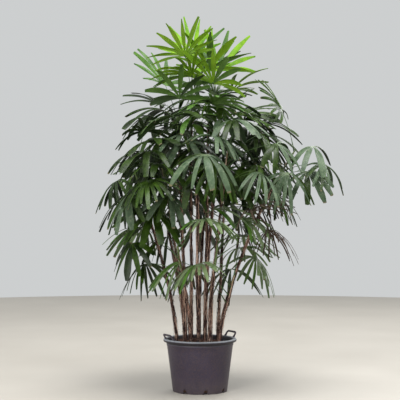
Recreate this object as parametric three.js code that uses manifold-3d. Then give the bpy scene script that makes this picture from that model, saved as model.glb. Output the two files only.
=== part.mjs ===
// Lady palm in a round nursery pot: a clump of slender canes, each with fan-shaped fronds in a spiral.
// Millimetres, +Z up. The origin is the centre of the pot's flat underside.

import * as THREE from "three";
import { mergeVertices } from "three/addons/utils/BufferGeometryUtils.js";
import Module from "manifold-3d";

const wasm = await Module();
wasm.setup();

// ---------------------------------------------------------------- driving sizes

const GAP = 0.3; // clearance between pieces that touch

// Pot: a tapered container with a rolled rim, two loop handles and drain notches round its foot.
const POT_HEIGHT = 360;
const POT_FOOT_RADIUS = 186;
const POT_NECK_RADIUS = 229; // outside of the wall, just under the rim
const POT_WALL = 4;
const RIM_RADIUS = 250;
const RIM_DEPTH = 22;
const RIM_INNER_RADIUS = 227;
const POT_SIDES = 40;
const NOTCH_COUNT = 8;
const NOTCH_WIDTH = 24;
const NOTCH_HEIGHT = 20;
const NOTCH_DEPTH = 30;
const NOTCH_INSET = 22; // of its inner end from the foot's outside
const NOTCH_TURN = -78; // degrees, the first notch's place round the foot
const HANDLE_TURNS = { handle_right: 28, handle_left: 208 }; // degrees round the rim from +X
const HANDLE_WIDTH = 128;
const HANDLE_HEIGHT = 44;
const HANDLE_BAR = 13;
const HANDLE_THICKNESS = 9;
const HANDLE_LEAN = 32; // degrees outwards
const HANDLE_DISTANCE = 231; // of its foot from the pot's axis

const SOIL_LEVEL = 318;

// Canes.
const CANE_FOOT_RADIUS = 9.5;
const CANE_TOP_RADIUS = 6;
const CANE_FLARE = 1.5; // root flare, times the foot's radius
const CANE_FLARE_HEIGHT = 50;
const CANE_SIDES = 7;
const CANE_STEPS = 6;
const STEM_SIDES = 6; // the leafy stretch of a cane
const LEAN_POWER = 1.5; // canes rise steeply and lean out towards their tips
const SWAY = 7; // slow side-to-side wander of a cane

// Fronds, from the youngest at a cane's tip to the oldest at the foot of its leafy stretch.
const GOLDEN_ANGLE = 137.508;
const BARE_TIP = 0.05; // share of the leafy stretch above its first frond
const PETIOLE_LENGTH = { young: 200, old: 380 };
const PETIOLE_OFF_AXIS = { young: 9, old: 60 }; // degrees between the cane and the leaf stalk
const PETIOLE_SAG = { young: 6, old: 38 }; // degrees by which the stalk bends down
const PETIOLE_RADIUS = 3.2;
const PETIOLE_STEPS = 6;
const PETIOLE_STATION_STEPS = 2; // steps between a solid stalk's cross-sections
const FAN_NOD = { young: 2, old: 30 }; // degrees by which the fan hangs below its stalk's line
const FAN_SPREAD = { young: 88, old: 118 }; // degrees to each side
const FAN_CUP = { young: 0.3, old: 0.05 };
const FEWEST_LEAFLETS = 6;
const MORE_LEAFLETS = 3; // at random
const MORE_WHEN_YOUNG = 2;
const BLADE_LENGTH = 325;
const BLADE_WIDTH = 46;
const BLADE_SAG = { young: 0.25, old: 2.6 };
const BLADE_SAG_POWER = 1.1;
const EDGEWISE_SAG = 0.4; // a flat blade gives way less to its edge than to its face
const BLADE_SIDE_SHORTENING = 0.22;
const BLADE_CROWDING = 0.37; // a blade is no wider than its share of the fan at this part of its length
const BLADE_STEPS = 12;
const BLADE_STATIONS = [4, 9]; // the steps at which a solid blade has a cross-section
const BLADE_STATION_WIDTHS = [0.85, 1];
const BLADE_THICKNESS = 4;
const HUB_RADIUS = 15; // the fan's undivided middle
const FRONDS_PER_GROUP = 3;
const GROUP_FOOT = 16; // how far a group's stem reaches below its lowest frond

// The full width of each measure's random spread, in degrees or as a share of the measure.
const SCATTER = {
  azimuth: 24,
  petioleLength: 0.3,
  offAxis: 10,
  petioleSag: 10,
  nod: 24,
  roll: 36,
  bladeSag: 0.4,
  fanSize: 0.25,
  bladeLength: 0.12,
  bladeWidth: 0.2,
};

// Space: everything that grows claims the cells that it passes through, and nothing enters another's cells.
const CELL = 15;
const CELL_SHIFT = 0.37; // keeps cell borders off round numbers
const TURN_STEP = 14; // degrees; a frond without room tries further and further to either side
const TURN_TRIES = 23;
const WORTH_TURNING = 0.1; // further turns have to keep this much more of the fan
const FEWEST_BLADES = 4;
const HUB_CLEARANCE = 0.4; // share of a blade's inner stretch that lies in the fan's own middle

// The crown's reach from the pot's axis at each height, further on the side of the long right-hand cane.
const CROWN_REACH = [
  [480, 300],
  [620, 560],
  [900, 690],
  [1350, 780],
  [1800, 660],
  [2150, 560],
  [2660, 330],
];
const LONG_SIDE = { turn: 0, width: 40, height: 1450, depth: 420, extra: 250 };

const SEED = 36;

// Each cane: where it stands on the soil, where its tip is, how many fronds it bears over which share of its
// length, the direction of its first frond in degrees, and that frond's age from 0, unfolding, to 1, old.
const CANES = [
  { foot: [-60, 20], tip: [-62, 10, 2145], fronds: 10, leafy: 0.46, turn: 95, youngest: 0 },
  { foot: [32, -20], tip: [150, -40, 1960], fronds: 10, leafy: 0.4, turn: 45, youngest: 0.12 },
  { foot: [36, 75], tip: [70, 130, 2080], fronds: 9, leafy: 0.43, turn: 60, youngest: 0 },
  { foot: [-98, -30], tip: [-160, -60, 1880], fronds: 9, leafy: 0.4, turn: 190, youngest: 0.15 },
  { foot: [-12, -75], tip: [-30, -220, 1760], fronds: 9, leafy: 0.34, turn: 265, youngest: 0.4 },
  { foot: [128, 30], tip: [650, 40, 1650], fronds: 7, leafy: 0.22, turn: 20, youngest: 0.4 },
  { foot: [-106, 60], tip: [-300, 170, 1700], fronds: 9, leafy: 0.42, turn: 140, youngest: 0.35 },
  { foot: [60, -80], tip: [200, -270, 1680], fronds: 8, leafy: 0.28, turn: 305, youngest: 0.4 },
  { foot: [-158, 5], tip: [-460, -50, 1520], fronds: 7, leafy: 0.36, turn: 185, youngest: 0.4 },
  { foot: [-8, 135], tip: [60, 340, 1680], fronds: 9, leafy: 0.42, turn: 95, youngest: 0.35 },
  { foot: [-62, -100], tip: [-150, -270, 1010], fronds: 3, leafy: 0.3, turn: 240, youngest: 0.5 },
  { foot: [66, -122], tip: [110, -250, 1020], fronds: 3, leafy: 0.3, turn: 290, youngest: 0.4 },
  { foot: [132, -45], tip: [240, -140, 800], fronds: 7, leafy: 0.5, turn: 330, youngest: 0.6 },
  { foot: [124, 105], tip: [200, 340, 1500], fronds: 5, leafy: 0.28, turn: 62, youngest: 0.3 },
  { foot: [-100, 125], tip: [-280, 260, 1290], fronds: 6, leafy: 0.36, turn: 140, youngest: 0.4 },
];

// ---------------------------------------------------------------- small helpers

const vector = (x, y, z) => new THREE.Vector3(x, y, z);
const radians = (degrees) => (degrees * Math.PI) / 180;
const mix = (range, share) => range.young + (range.old - range.young) * share;
const plus = (a, b, times = 1) => a.clone().addScaledVector(b, times);

// A stream of numbers from 0 to 1 that is the same every time.
function stream(seed) {
  let state = (seed * 2654435761) % 4294967296;
  const next = () => {
    state = (state * 1664525 + 1013904223) % 4294967296;
    return state / 4294967296;
  };
  next();
  next();
  return next;
}

function meshOf(points, triangles) {
  const mesh = new wasm.Mesh({
    numProp: 3,
    vertProperties: new Float32Array(points.flatMap((p) => [p.x, p.y, p.z])),
    triVerts: new Uint32Array(triangles.flat()),
  });
  return new wasm.Manifold(mesh);
}

function solidOf(geometry) {
  const bare = geometry.clone();
  bare.deleteAttribute("normal");
  bare.deleteAttribute("uv");
  const merged = mergeVertices(bare, 1e-3);
  const mesh = new wasm.Mesh({
    numProp: 3,
    vertProperties: new Float32Array(merged.getAttribute("position").array),
    triVerts: new Uint32Array(merged.index.array),
  });
  return new wasm.Manifold(mesh);
}

function geometryOf(solid) {
  const mesh = solid.getMesh();
  const geometry = new THREE.BufferGeometry();
  geometry.setAttribute("position", new THREE.BufferAttribute(new Float32Array(mesh.vertProperties), 3));
  geometry.setIndex(new THREE.BufferAttribute(new Uint32Array(mesh.triVerts), 1));
  return geometry;
}

// ---------------------------------------------------------------- the growth rule

// The centre line of a cane: share 0 is at the soil and 1 at the tip.
function canePoint(cane, index, share) {
  const [fx, fy] = cane.foot;
  const [tx, ty, tz] = cane.tip;
  const lean = Math.pow(share, LEAN_POWER);
  const sway = SWAY * Math.sin(2 * Math.PI * (1.3 * share + 0.37 * index)) * share;
  const height = SOIL_LEVEL + (tz - SOIL_LEVEL) * share;
  return vector(fx + (tx - fx) * lean + sway, fy + (ty - fy) * lean - sway, height);
}

function caneDirection(cane, index, share) {
  const step = 0.01;
  return canePoint(cane, index, share + step).sub(canePoint(cane, index, share - step)).normalize();
}

function caneRadius(share) {
  return CANE_FOOT_RADIUS + (CANE_TOP_RADIUS - CANE_FOOT_RADIUS) * share;
}

// The share of the cane's length at which frond k grows.
function frondShare(cane, k) {
  return 1 - cane.leafy * (BARE_TIP + ((1 - BARE_TIP) * k) / (cane.fronds - 1));
}

// One frond: the stalk's points, the fan's frame at its hub, and the blades' centre lines.
function shapeFrond(cane, index, k, turn) {
  const random = stream(SEED + 100 * index + k);
  const scatter = (width) => width * (random() - 0.5);
  const age = cane.youngest + ((1 - cane.youngest) * k) / (cane.fronds - 1);
  const youth = (1 - age) * (1 - age);
  const azimuth = radians(cane.turn + GOLDEN_ANGLE * k + turn + scatter(SCATTER.azimuth));
  const length = mix(PETIOLE_LENGTH, Math.sqrt(age)) * (1 + scatter(SCATTER.petioleLength));
  const offAxis = radians(mix(PETIOLE_OFF_AXIS, Math.pow(age, 0.7)) + scatter(SCATTER.offAxis));
  const sag = radians(mix(PETIOLE_SAG, age) + scatter(SCATTER.petioleSag));
  const nod = radians(mix(FAN_NOD, age) + scatter(SCATTER.nod));
  const roll = radians(scatter(SCATTER.roll));
  const bladeSag = mix(BLADE_SAG, Math.pow(age, 0.6)) * (1 + scatter(SCATTER.bladeSag));
  const fanSize = BLADE_LENGTH * (1 + scatter(SCATTER.fanSize));
  const count = FEWEST_LEAFLETS + Math.floor(MORE_LEAFLETS * random() + MORE_WHEN_YOUNG * youth);

  const share = frondShare(cane, k);
  const root = canePoint(cane, index, share);
  const axis = caneDirection(cane, index, share);
  const outward = vector(Math.cos(azimuth), Math.sin(azimuth), 0);
  const level = plus(outward, axis, -outward.dot(axis)).normalize();
  const start = axis.clone().multiplyScalar(Math.cos(offAxis)).addScaledVector(level, Math.sin(offAxis));

  // The stalk bends down in its own upright plane.
  const flat = vector(start.x, start.y, 0).normalize();
  const rise = Math.asin(start.z);
  const aim = (angle) => flat.clone().multiplyScalar(Math.cos(angle)).add(vector(0, 0, Math.sin(angle)));
  const stalk = [root];
  const stalkUps = [aim(rise + Math.PI / 2)];
  for (let j = 0; j < PETIOLE_STEPS; j++) {
    const angle = rise - (sag * (j + 0.5)) / PETIOLE_STEPS;
    stalk.push(plus(stalk[j], aim(angle), length / PETIOLE_STEPS));
    stalkUps.push(aim(angle + Math.PI / 2));
  }
  const hub = stalk[PETIOLE_STEPS];

  const ahead = aim(rise - sag - nod);
  const upright = aim(rise - sag - nod + Math.PI / 2);
  const across = upright.clone().cross(ahead);
  const normal = upright.clone().multiplyScalar(Math.cos(roll)).addScaledVector(across, Math.sin(roll));
  const side = normal.clone().cross(ahead);

  const cup = mix(FAN_CUP, age);
  const spread = radians(mix(FAN_SPREAD, Math.sqrt(age)));
  const blades = [];
  for (let i = 0; i < count; i++) {
    const angle = -spread + (2 * spread * (i + 0.5)) / count;
    const sideways = Math.abs(angle) / spread;
    const shorter = 1 - BLADE_SIDE_SHORTENING * sideways * sideways;
    const reach = fanSize * shorter * (1 + scatter(SCATTER.bladeLength));
    const room = (BLADE_CROWDING * reach * 2 * spread) / count;
    const width = Math.min(BLADE_WIDTH * (1 + scatter(SCATTER.bladeWidth)), room);
    const first = ahead
      .clone()
      .multiplyScalar(Math.cos(angle))
      .addScaledVector(side, Math.sin(angle))
      .addScaledVector(normal, cup)
      .normalize();
    const firstSide = normal.clone().cross(first).normalize();
    // Its weight bends a blade over its face and a little over its edge, and never back on itself.
    const face = first.clone().cross(firstSide);
    const pull = first
      .clone()
      .multiplyScalar(Math.max(0, -first.z))
      .addScaledVector(face, -face.z)
      .addScaledVector(firstSide, -EDGEWISE_SAG * firstSide.z);
    const line = [{ at: hub, along: first, side: firstSide }];
    for (let j = 1; j <= BLADE_STEPS; j++) {
      const travelled = (j - 0.5) / BLADE_STEPS;
      const along = plus(first, pull, bladeSag * Math.pow(travelled, BLADE_SAG_POWER)).normalize();
      line.push({
        at: plus(line[j - 1].at, along, reach / BLADE_STEPS),
        along,
        side: plus(firstSide, along, -firstSide.dot(along)).normalize(),
      });
    }
    blades.push({ angle, width, line });
  }
  return { share, stalk, stalkUps, across, hub, ahead, normal, side, spread, count, blades };
}

// ---------------------------------------------------------------- space claims

const claimed = new Map(); // cell to owner

function cellOf(point) {
  const [x, y, z] = [point.x, point.y, point.z].map((c) => Math.floor((c + CELL_SHIFT) / CELL) + 512);
  return (x * 1024 + y) * 1024 + z;
}

function cellsOfLine(points, radius) {
  const cells = new Set();
  const offsets = [0, 90, 180, 270].map((turn) =>
    vector(radius * Math.cos(radians(turn)), radius * Math.sin(radians(turn)), 0),
  );
  for (let j = 1; j < points.length; j++) {
    const steps = Math.ceil(points[j].distanceTo(points[j - 1]) / (CELL / 2));
    for (let i = 0; i <= steps; i++) {
      const at = points[j - 1].clone().lerp(points[j], i / steps);
      offsets.forEach((offset) => cells.add(cellOf(at.clone().add(offset))));
    }
  }
  return cells;
}

// The corners of a blade's outline at the steps where its solid has a cross-section.
function bladeSections(blade) {
  const sections = BLADE_STATIONS.map((step, i) => {
    const { at, along, side } = blade.line[step];
    const half = (blade.width * BLADE_STATION_WIDTHS[i]) / 2;
    const above = along.clone().cross(side).multiplyScalar(BLADE_THICKNESS);
    return { left: plus(at, side, half), right: plus(at, side, -half), top: at.clone().add(above) };
  });
  return { sections, tip: blade.line[BLADE_STEPS].at };
}

function cellsOfBlade(frond, blade) {
  const cells = new Set();
  const { sections, tip } = bladeSections(blade);
  const inner = (corner) => frond.hub.clone().lerp(corner, HUB_CLEARANCE);
  const start = { left: inner(sections[0].left), right: inner(sections[0].right) };
  const rows = [start, ...sections, { left: tip, right: tip }];
  for (let j = 1; j < rows.length; j++) {
    const [a, b] = [rows[j - 1], rows[j]];
    const steps = Math.ceil(a.left.distanceTo(b.left) / (CELL / 2));
    for (let i = 0; i <= steps; i++) {
      const left = a.left.clone().lerp(b.left, i / steps);
      const right = a.right.clone().lerp(b.right, i / steps);
      for (const across of [0, 0.25, 0.5, 0.75, 1]) cells.add(cellOf(left.clone().lerp(right, across)));
    }
  }
  return cells;
}

function isFree(cells, mine) {
  return [...cells].every((cell) => !claimed.has(cell) || claimed.get(cell) === mine);
}

function claim(cells, owner) {
  cells.forEach((cell) => claimed.has(cell) || claimed.set(cell, owner));
}

// The part of a frond that every blade shares: its middle, then its stalk.
function cellsOfMiddle(frond) {
  const cells = new Set();
  for (const blade of frond.blades) {
    const edge = frond.hub.clone().lerp(blade.line[BLADE_STATIONS[0]].at, HUB_CLEARANCE);
    for (const out of [0, 0.5, 1]) cells.add(cellOf(frond.hub.clone().lerp(edge, out)));
  }
  return cells;
}

function crownReach(point) {
  const above = CROWN_REACH.findIndex(([z]) => z > point.z);
  if (above < 1) return 0;
  const [[z0, r0], [z1, r1]] = [CROWN_REACH[above - 1], CROWN_REACH[above]];
  const plain = r0 + ((r1 - r0) * (point.z - z0)) / (z1 - z0);
  const turn = Math.atan2(point.y, point.x) - radians(LONG_SIDE.turn) + Math.PI;
  const aside = (THREE.MathUtils.euclideanModulo(turn, 2 * Math.PI) - Math.PI) / radians(LONG_SIDE.width);
  const away = (point.z - LONG_SIDE.height) / LONG_SIDE.depth;
  return plain + LONG_SIDE.extra * Math.exp(-aside * aside - away * away);
}

const inReach = (point) => Math.hypot(point.x, point.y) <= crownReach(point);

// Tries the frond at several turns and keeps the one whose fan has the most room.
function placeFrond(cane, index, k) {
  const owner = `frond ${index} ${k}`;
  let best = null;
  for (let trial = 0; trial < TURN_TRIES; trial++) {
    const turn = (trial % 2 ? 1 : -1) * Math.ceil(trial / 2) * TURN_STEP;
    const frond = shapeFrond(cane, index, k, turn);
    const middle = cellsOfMiddle(frond);
    const stalk = new Set([...cellsOfLine(frond.stalk, PETIOLE_RADIUS)].filter((cell) => !middle.has(cell)));
    if (!isFree(stalk, `cane ${index}`) || !isFree(middle)) continue;
    frond.kept = frond.blades.filter((blade) => {
      const cells = [...cellsOfBlade(frond, blade)];
      return inReach(blade.line[BLADE_STEPS].at) && isFree(cells) && !cells.some((cell) => stalk.has(cell));
    });
    const share = frond.kept.length / frond.count;
    if (!best || share > best.share + WORTH_TURNING) best = { frond, stalk, middle, share };
    if (share === 1) break;
  }
  if (!best || best.frond.kept.length < FEWEST_BLADES) return null;
  const blades = best.frond.kept.map((blade) => cellsOfBlade(best.frond, blade));
  for (const cells of [best.stalk, best.middle, ...blades]) claim(cells, owner);
  return best.frond;
}

function growFronds() {
  CANES.forEach((cane, index) => {
    const line = Array.from({ length: 41 }, (_, i) => canePoint(cane, index, i / 40));
    claim(cellsOfLine(line, CANE_FOOT_RADIUS), `cane ${index}`);
  });
  const fronds = CANES.map(() => []);
  const most = Math.max(...CANES.map((cane) => cane.fronds));
  for (let k = 0; k < most; k++) {
    CANES.forEach((cane, index) => {
      if (k >= cane.fronds) return;
      const frond = placeFrond(cane, index, k);
      if (frond) fronds[index].push(frond);
    });
  }
  return fronds;
}

// ---------------------------------------------------------------- solids of the plant

// A closed tube through rings of points, from the lowest ring to the highest.
function tubeSolid(rings) {
  const sides = rings[0].length;
  const points = rings.flat();
  const triangles = [];
  for (let r = 1; r < rings.length; r++) {
    for (let i = 0; i < sides; i++) {
      const [a, b] = [(r - 1) * sides + i, (r - 1) * sides + ((i + 1) % sides)];
      triangles.push([a, b, b + sides], [a, b + sides, a + sides]);
    }
  }
  const last = (rings.length - 1) * sides;
  for (let i = 1; i < sides - 1; i++) {
    triangles.push([0, i + 1, i], [last, last + i, last + i + 1]);
  }
  return meshOf(points, triangles);
}

// A stretch of a cane between two heights, cut level at both ends.
function caneSolid(cane, index, from, to, steps, sides, flared) {
  const rings = [];
  for (let j = 0; j <= steps; j++) {
    const bias = flared ? Math.pow(j / steps, 1.25) : j / steps;
    const share = from + (to - from) * bias;
    const centre = canePoint(cane, index, share);
    const nearFoot = Math.max(0, 1 - (centre.z - SOIL_LEVEL) / CANE_FLARE_HEIGHT);
    const radius = caneRadius(share) * (flared ? 1 + (CANE_FLARE - 1) * nearFoot * nearFoot : 1);
    const lift = (j === 0 ? GAP / 2 : 0) - (j === steps ? GAP / 2 : 0);
    rings.push(
      Array.from({ length: sides }, (_, i) => {
        const angle = (2 * Math.PI * i) / sides;
        return centre.clone().add(vector(radius * Math.cos(angle), radius * Math.sin(angle), lift));
      }),
    );
  }
  return tubeSolid(rings);
}

// The stalk and the divided fan as one closed skin. Every cross-section has three corners: a top ridge and
// two edges. The blades' cross-sections share their root corners at the notches between blades.
function frondSolid(frond) {
  const { stalk, stalkUps, across, hub, ahead, side, normal, spread, count } = frond;
  const points = [];
  const triangles = [];
  const add = (point) => points.push(point) - 1;
  // Each four-cornered face is folded outwards, so that a twisted stretch doesn't pass through itself.
  const band = (a, b) => {
    for (let i = 0; i < 3; i++) {
      const n = (i + 1) % 3;
      const [p, q, r, s] = [a[i], b[i], b[n], a[n]].map((corner) => points[corner]);
      const bulge = plus(q, p, -1).cross(plus(r, p, -1)).dot(plus(s, p, -1));
      if (bulge > 0) triangles.push([a[i], b[i], a[n]], [b[i], b[n], a[n]]);
      else triangles.push([a[i], b[n], a[n]], [a[i], b[i], b[n]]);
    }
  };
  const ring = (j) => [
    add(plus(stalk[j], stalkUps[j], PETIOLE_RADIUS)),
    add(plus(plus(stalk[j], across, PETIOLE_RADIUS), stalkUps[j], -PETIOLE_RADIUS / 2)),
    add(plus(plus(stalk[j], across, -PETIOLE_RADIUS), stalkUps[j], -PETIOLE_RADIUS / 2)),
  ];

  // The hub's corners: its top, and the notches between the blades from the right edge to the left.
  const top = add(plus(hub, normal, PETIOLE_RADIUS * 1.2));
  const notches = Array.from({ length: count + 1 }, (_, i) => {
    const angle = -spread + (2 * spread * i) / count;
    return add(plus(plus(hub, ahead, HUB_RADIUS * Math.cos(angle)), side, HUB_RADIUS * Math.sin(angle)));
  });

  let last = ring(0);
  triangles.push(last);
  for (let j = PETIOLE_STATION_STEPS; j < PETIOLE_STEPS; j += PETIOLE_STATION_STEPS) {
    const next = ring(j);
    band(last, next);
    last = next;
  }
  band(last, [top, notches[count], notches[0]]);
  for (let i = 1; i < count; i++) triangles.push([notches[0], notches[i + 1], notches[i]]);

  frond.blades.forEach((blade, i) => {
    const root = [top, notches[i + 1], notches[i]];
    if (!frond.kept.includes(blade)) {
      triangles.push([top, notches[i], notches[i + 1]]);
      return;
    }
    const { sections, tip } = bladeSections(blade);
    let section = root;
    for (const { top: ridge, left, right } of sections) {
      const next = [add(ridge), add(left), add(right)];
      band(section, next);
      section = next;
    }
    const end = add(tip);
    for (let s = 0; s < 3; s++) triangles.push([section[s], end, section[(s + 1) % 3]]);
  });
  return meshOf(points, triangles);
}

// ---------------------------------------------------------------- the pot

function turned(profile, sides) {
  const points = profile.map(([r, z]) => new THREE.Vector2(r, z));
  return new THREE.LatheGeometry(points, sides).rotateX(Math.PI / 2);
}

function wallRadius(z) {
  return POT_FOOT_RADIUS + ((POT_NECK_RADIUS - POT_FOOT_RADIUS) * z) / (POT_HEIGHT - RIM_DEPTH);
}

function potSolid() {
  const under = POT_HEIGHT - RIM_DEPTH;
  const edge = 5; // rounding of the rim
  const profile = [
    [0, 0],
    [POT_FOOT_RADIUS - edge, 0],
    [wallRadius(edge), edge],
    [wallRadius(under), under],
    [RIM_RADIUS - 2, under],
    [RIM_RADIUS, under + edge],
    [RIM_RADIUS, POT_HEIGHT - edge],
    [RIM_RADIUS - edge, POT_HEIGHT],
    [RIM_INNER_RADIUS + 4, POT_HEIGHT],
    [RIM_INNER_RADIUS, POT_HEIGHT - edge],
    [wallRadius(under) - POT_WALL, under - edge],
    [wallRadius(POT_WALL) - POT_WALL, POT_WALL],
    [0, POT_WALL],
  ];
  let pot = solidOf(turned(profile, POT_SIDES));
  const arch = new THREE.Shape();
  arch.moveTo(-NOTCH_WIDTH / 2, -NOTCH_HEIGHT);
  arch.lineTo(NOTCH_WIDTH / 2, -NOTCH_HEIGHT);
  arch.lineTo(NOTCH_WIDTH / 2, NOTCH_HEIGHT / 2);
  arch.lineTo(NOTCH_WIDTH / 4, NOTCH_HEIGHT);
  arch.lineTo(-NOTCH_WIDTH / 4, NOTCH_HEIGHT);
  arch.lineTo(-NOTCH_WIDTH / 2, NOTCH_HEIGHT / 2);
  for (let i = 0; i < NOTCH_COUNT; i++) {
    const cutter = new THREE.ExtrudeGeometry(arch, { depth: NOTCH_DEPTH, bevelEnabled: false })
      .rotateX(Math.PI / 2)
      .translate(0, -POT_FOOT_RADIUS + NOTCH_INSET, 0)
      .rotateZ(radians(NOTCH_TURN + 90 + (360 * i) / NOTCH_COUNT));
    pot = pot.subtract(solidOf(cutter));
  }
  return pot;
}

function soilSolid() {
  const floor = POT_WALL + GAP;
  const inner = (z) => wallRadius(z) - POT_WALL - GAP * 2;
  const profile = [
    [0, floor],
    [inner(floor), floor],
    [inner(SOIL_LEVEL), SOIL_LEVEL - GAP / 2],
    [0, SOIL_LEVEL - GAP / 2],
  ];
  return solidOf(turned(profile, POT_SIDES));
}

function handleSolid(turn) {
  const [half, bar] = [HANDLE_WIDTH / 2, HANDLE_BAR];
  const sunk = 20; // below the rim's top, trimmed off level
  const loop = new THREE.Shape();
  loop.moveTo(-half, -sunk);
  loop.lineTo(-half + bar, -sunk);
  loop.lineTo(-half + bar, HANDLE_HEIGHT - bar);
  loop.lineTo(half - bar, HANDLE_HEIGHT - bar);
  loop.lineTo(half - bar, -sunk);
  loop.lineTo(half, -sunk);
  loop.lineTo(half, HANDLE_HEIGHT - bar / 2);
  loop.lineTo(half - bar / 2, HANDLE_HEIGHT);
  loop.lineTo(-half + bar / 2, HANDLE_HEIGHT);
  loop.lineTo(-half, HANDLE_HEIGHT - bar / 2);
  const place = (geometry) => geometry.rotateZ(radians(turn));
  // The loop is drawn upright across the +X side of the rim, then leans out.
  const upright = new THREE.ExtrudeGeometry(loop, { depth: HANDLE_THICKNESS, bevelEnabled: false })
    .translate(0, 0, -HANDLE_THICKNESS / 2)
    .rotateX(Math.PI / 2)
    .rotateZ(Math.PI / 2)
    .rotateY(radians(HANDLE_LEAN))
    .translate(HANDLE_DISTANCE, 0, POT_HEIGHT);
  const room = 2 * HANDLE_WIDTH; // the cube above the rim in which the loop is kept
  const middle = POT_HEIGHT + GAP + room / 2;
  const above = new THREE.BoxGeometry(room, room, room).translate(HANDLE_DISTANCE, 0, middle);
  return solidOf(place(upright)).intersect(solidOf(place(above)));
}

// ---------------------------------------------------------------- assembly

const paint = (color, roughness) => new THREE.MeshStandardMaterial({ color, roughness, metalness: 0 });
const plastic = paint(0x3a3440, 0.6);
const earth = paint(0x3b2418, 0.95);
const bark = paint(0x5a3528, 0.85);
const leaf = paint(0x2f5a2a, 0.45);
const youngLeaf = paint(0x6cab2e, 0.4);

const palm = new THREE.Group();

function piece(name, solid, material) {
  const mesh = new THREE.Mesh(geometryOf(solid), material);
  mesh.name = name;
  palm.add(mesh);
}

piece("pot", potSolid(), plastic);
for (const [name, turn] of Object.entries(HANDLE_TURNS)) piece(name, handleSolid(turn), plastic);
piece("soil", soilSolid(), earth);

growFronds().forEach((fronds, index) => {
  const cane = CANES[index];
  const number = String(index + 1).padStart(2, "0");
  const height = cane.tip[2] - SOIL_LEVEL;
  const groups = [];
  for (let i = 0; i < fronds.length; i += FRONDS_PER_GROUP) {
    groups.push(fronds.slice(i, i + FRONDS_PER_GROUP));
  }
  const foot = (group) => group[group.length - 1].share - GROUP_FOOT / height;
  const bareTop = foot(groups[groups.length - 1]);
  piece(`cane_${number}`, caneSolid(cane, index, 0, bareTop, CANE_STEPS, CANE_SIDES, true), bark);
  groups.forEach((group, g) => {
    const to = g === 0 ? 1 : foot(groups[g - 1]);
    let solid = caneSolid(cane, index, foot(group), to, 2, STEM_SIDES, false);
    for (const frond of group) solid = solid.add(frondSolid(frond));
    piece(`fronds_${number}_${"abcd"[g]}`, solid, g === 0 ? youngLeaf : leaf);
  });
});

export default palm;
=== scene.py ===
"""Looks of a potted lady palm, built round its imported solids.

Metres, +Z up, the origin at the centre of the pot's underside. The fronds grow by the same rule as
the solids' and from the same numbers, and then finer: more of them, with pleated, toothed leaflets.
"""

import itertools
import math

import bpy
import numpy as np
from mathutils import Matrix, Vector


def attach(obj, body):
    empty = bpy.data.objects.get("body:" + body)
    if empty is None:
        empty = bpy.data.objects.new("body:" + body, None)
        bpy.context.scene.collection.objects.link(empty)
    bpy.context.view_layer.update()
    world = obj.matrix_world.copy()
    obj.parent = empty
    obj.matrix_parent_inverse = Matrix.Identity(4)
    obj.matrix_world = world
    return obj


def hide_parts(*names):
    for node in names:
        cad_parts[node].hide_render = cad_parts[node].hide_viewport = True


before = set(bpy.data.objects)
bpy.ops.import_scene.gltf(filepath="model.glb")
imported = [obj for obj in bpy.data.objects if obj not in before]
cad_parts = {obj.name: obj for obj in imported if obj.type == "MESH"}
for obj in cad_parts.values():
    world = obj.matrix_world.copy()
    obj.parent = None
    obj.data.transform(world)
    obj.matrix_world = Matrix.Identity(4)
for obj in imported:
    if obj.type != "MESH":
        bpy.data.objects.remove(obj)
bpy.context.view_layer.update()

# ---- sizes shared with the solids

GAP = 0.0003
POT_HEIGHT = 0.360
POT_FOOT_RADIUS = 0.186
POT_NECK_RADIUS = 0.229
POT_WALL = 0.004
RIM_RADIUS = 0.250
RIM_DEPTH = 0.022
RIM_INNER_RADIUS = 0.227
NOTCH_COUNT = 8
NOTCH_WIDTH = 0.024
NOTCH_HEIGHT = 0.020
NOTCH_DEPTH = 0.030
NOTCH_INSET = 0.022
NOTCH_TURN = -78  # degrees
HANDLE_TURNS = {"handle_right": 28, "handle_left": 208}  # degrees
HANDLE_WIDTH = 0.128
HANDLE_HEIGHT = 0.044
HANDLE_BAR = 0.013
HANDLE_THICKNESS = 0.009
HANDLE_LEAN = 32  # degrees
HANDLE_DISTANCE = 0.231
SOIL_LEVEL = 0.318

CANE_FOOT_RADIUS = 0.0095
CANE_TOP_RADIUS = 0.006
CANE_FLARE = 1.5
CANE_FLARE_HEIGHT = 0.050
LEAN_POWER = 1.5
SWAY = 0.007

GOLDEN_ANGLE = 137.508
BARE_TIP = 0.05
PETIOLE_LENGTH = (0.200, 0.380)  # on the youngest and on the oldest frond, as in every pair below
PETIOLE_OFF_AXIS = (9, 60)
PETIOLE_SAG = (6, 38)
PETIOLE_RADIUS = 0.0032
PETIOLE_STEPS = 6
FAN_NOD = (2, 30)
FAN_SPREAD = (88, 118)
FAN_CUP = (0.3, 0.05)
FEWEST_LEAFLETS = 6
MORE_LEAFLETS = 3
MORE_WHEN_YOUNG = 2
BLADE_LENGTH = 0.325
BLADE_WIDTH = 0.046
BLADE_SAG = (0.25, 2.6)
BLADE_SAG_POWER = 1.1
EDGEWISE_SAG = 0.4
BLADE_SIDE_SHORTENING = 0.22
BLADE_CROWDING = 0.37
BLADE_STEPS = 12
BLADE_STATIONS = (4, 9)
BLADE_STATION_WIDTHS = (0.85, 1)

SCATTER = {
    "azimuth": 24,
    "petiole_length": 0.3,
    "off_axis": 10,
    "petiole_sag": 10,
    "nod": 24,
    "roll": 36,
    "blade_sag": 0.4,
    "fan_size": 0.25,
    "blade_length": 0.12,
    "blade_width": 0.2,
}

CELL = 0.015
CELL_SHIFT = 0.00037
CELL_ORIGIN = 90  # cells from the grid's edge to the pot's axis
CELL_COUNTS = (180, 180, 200)
TURN_STEP = 14
TURN_TRIES = 23
WORTH_TURNING = 0.1
FEWEST_BLADES = 4
HUB_CLEARANCE = 0.4

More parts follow.
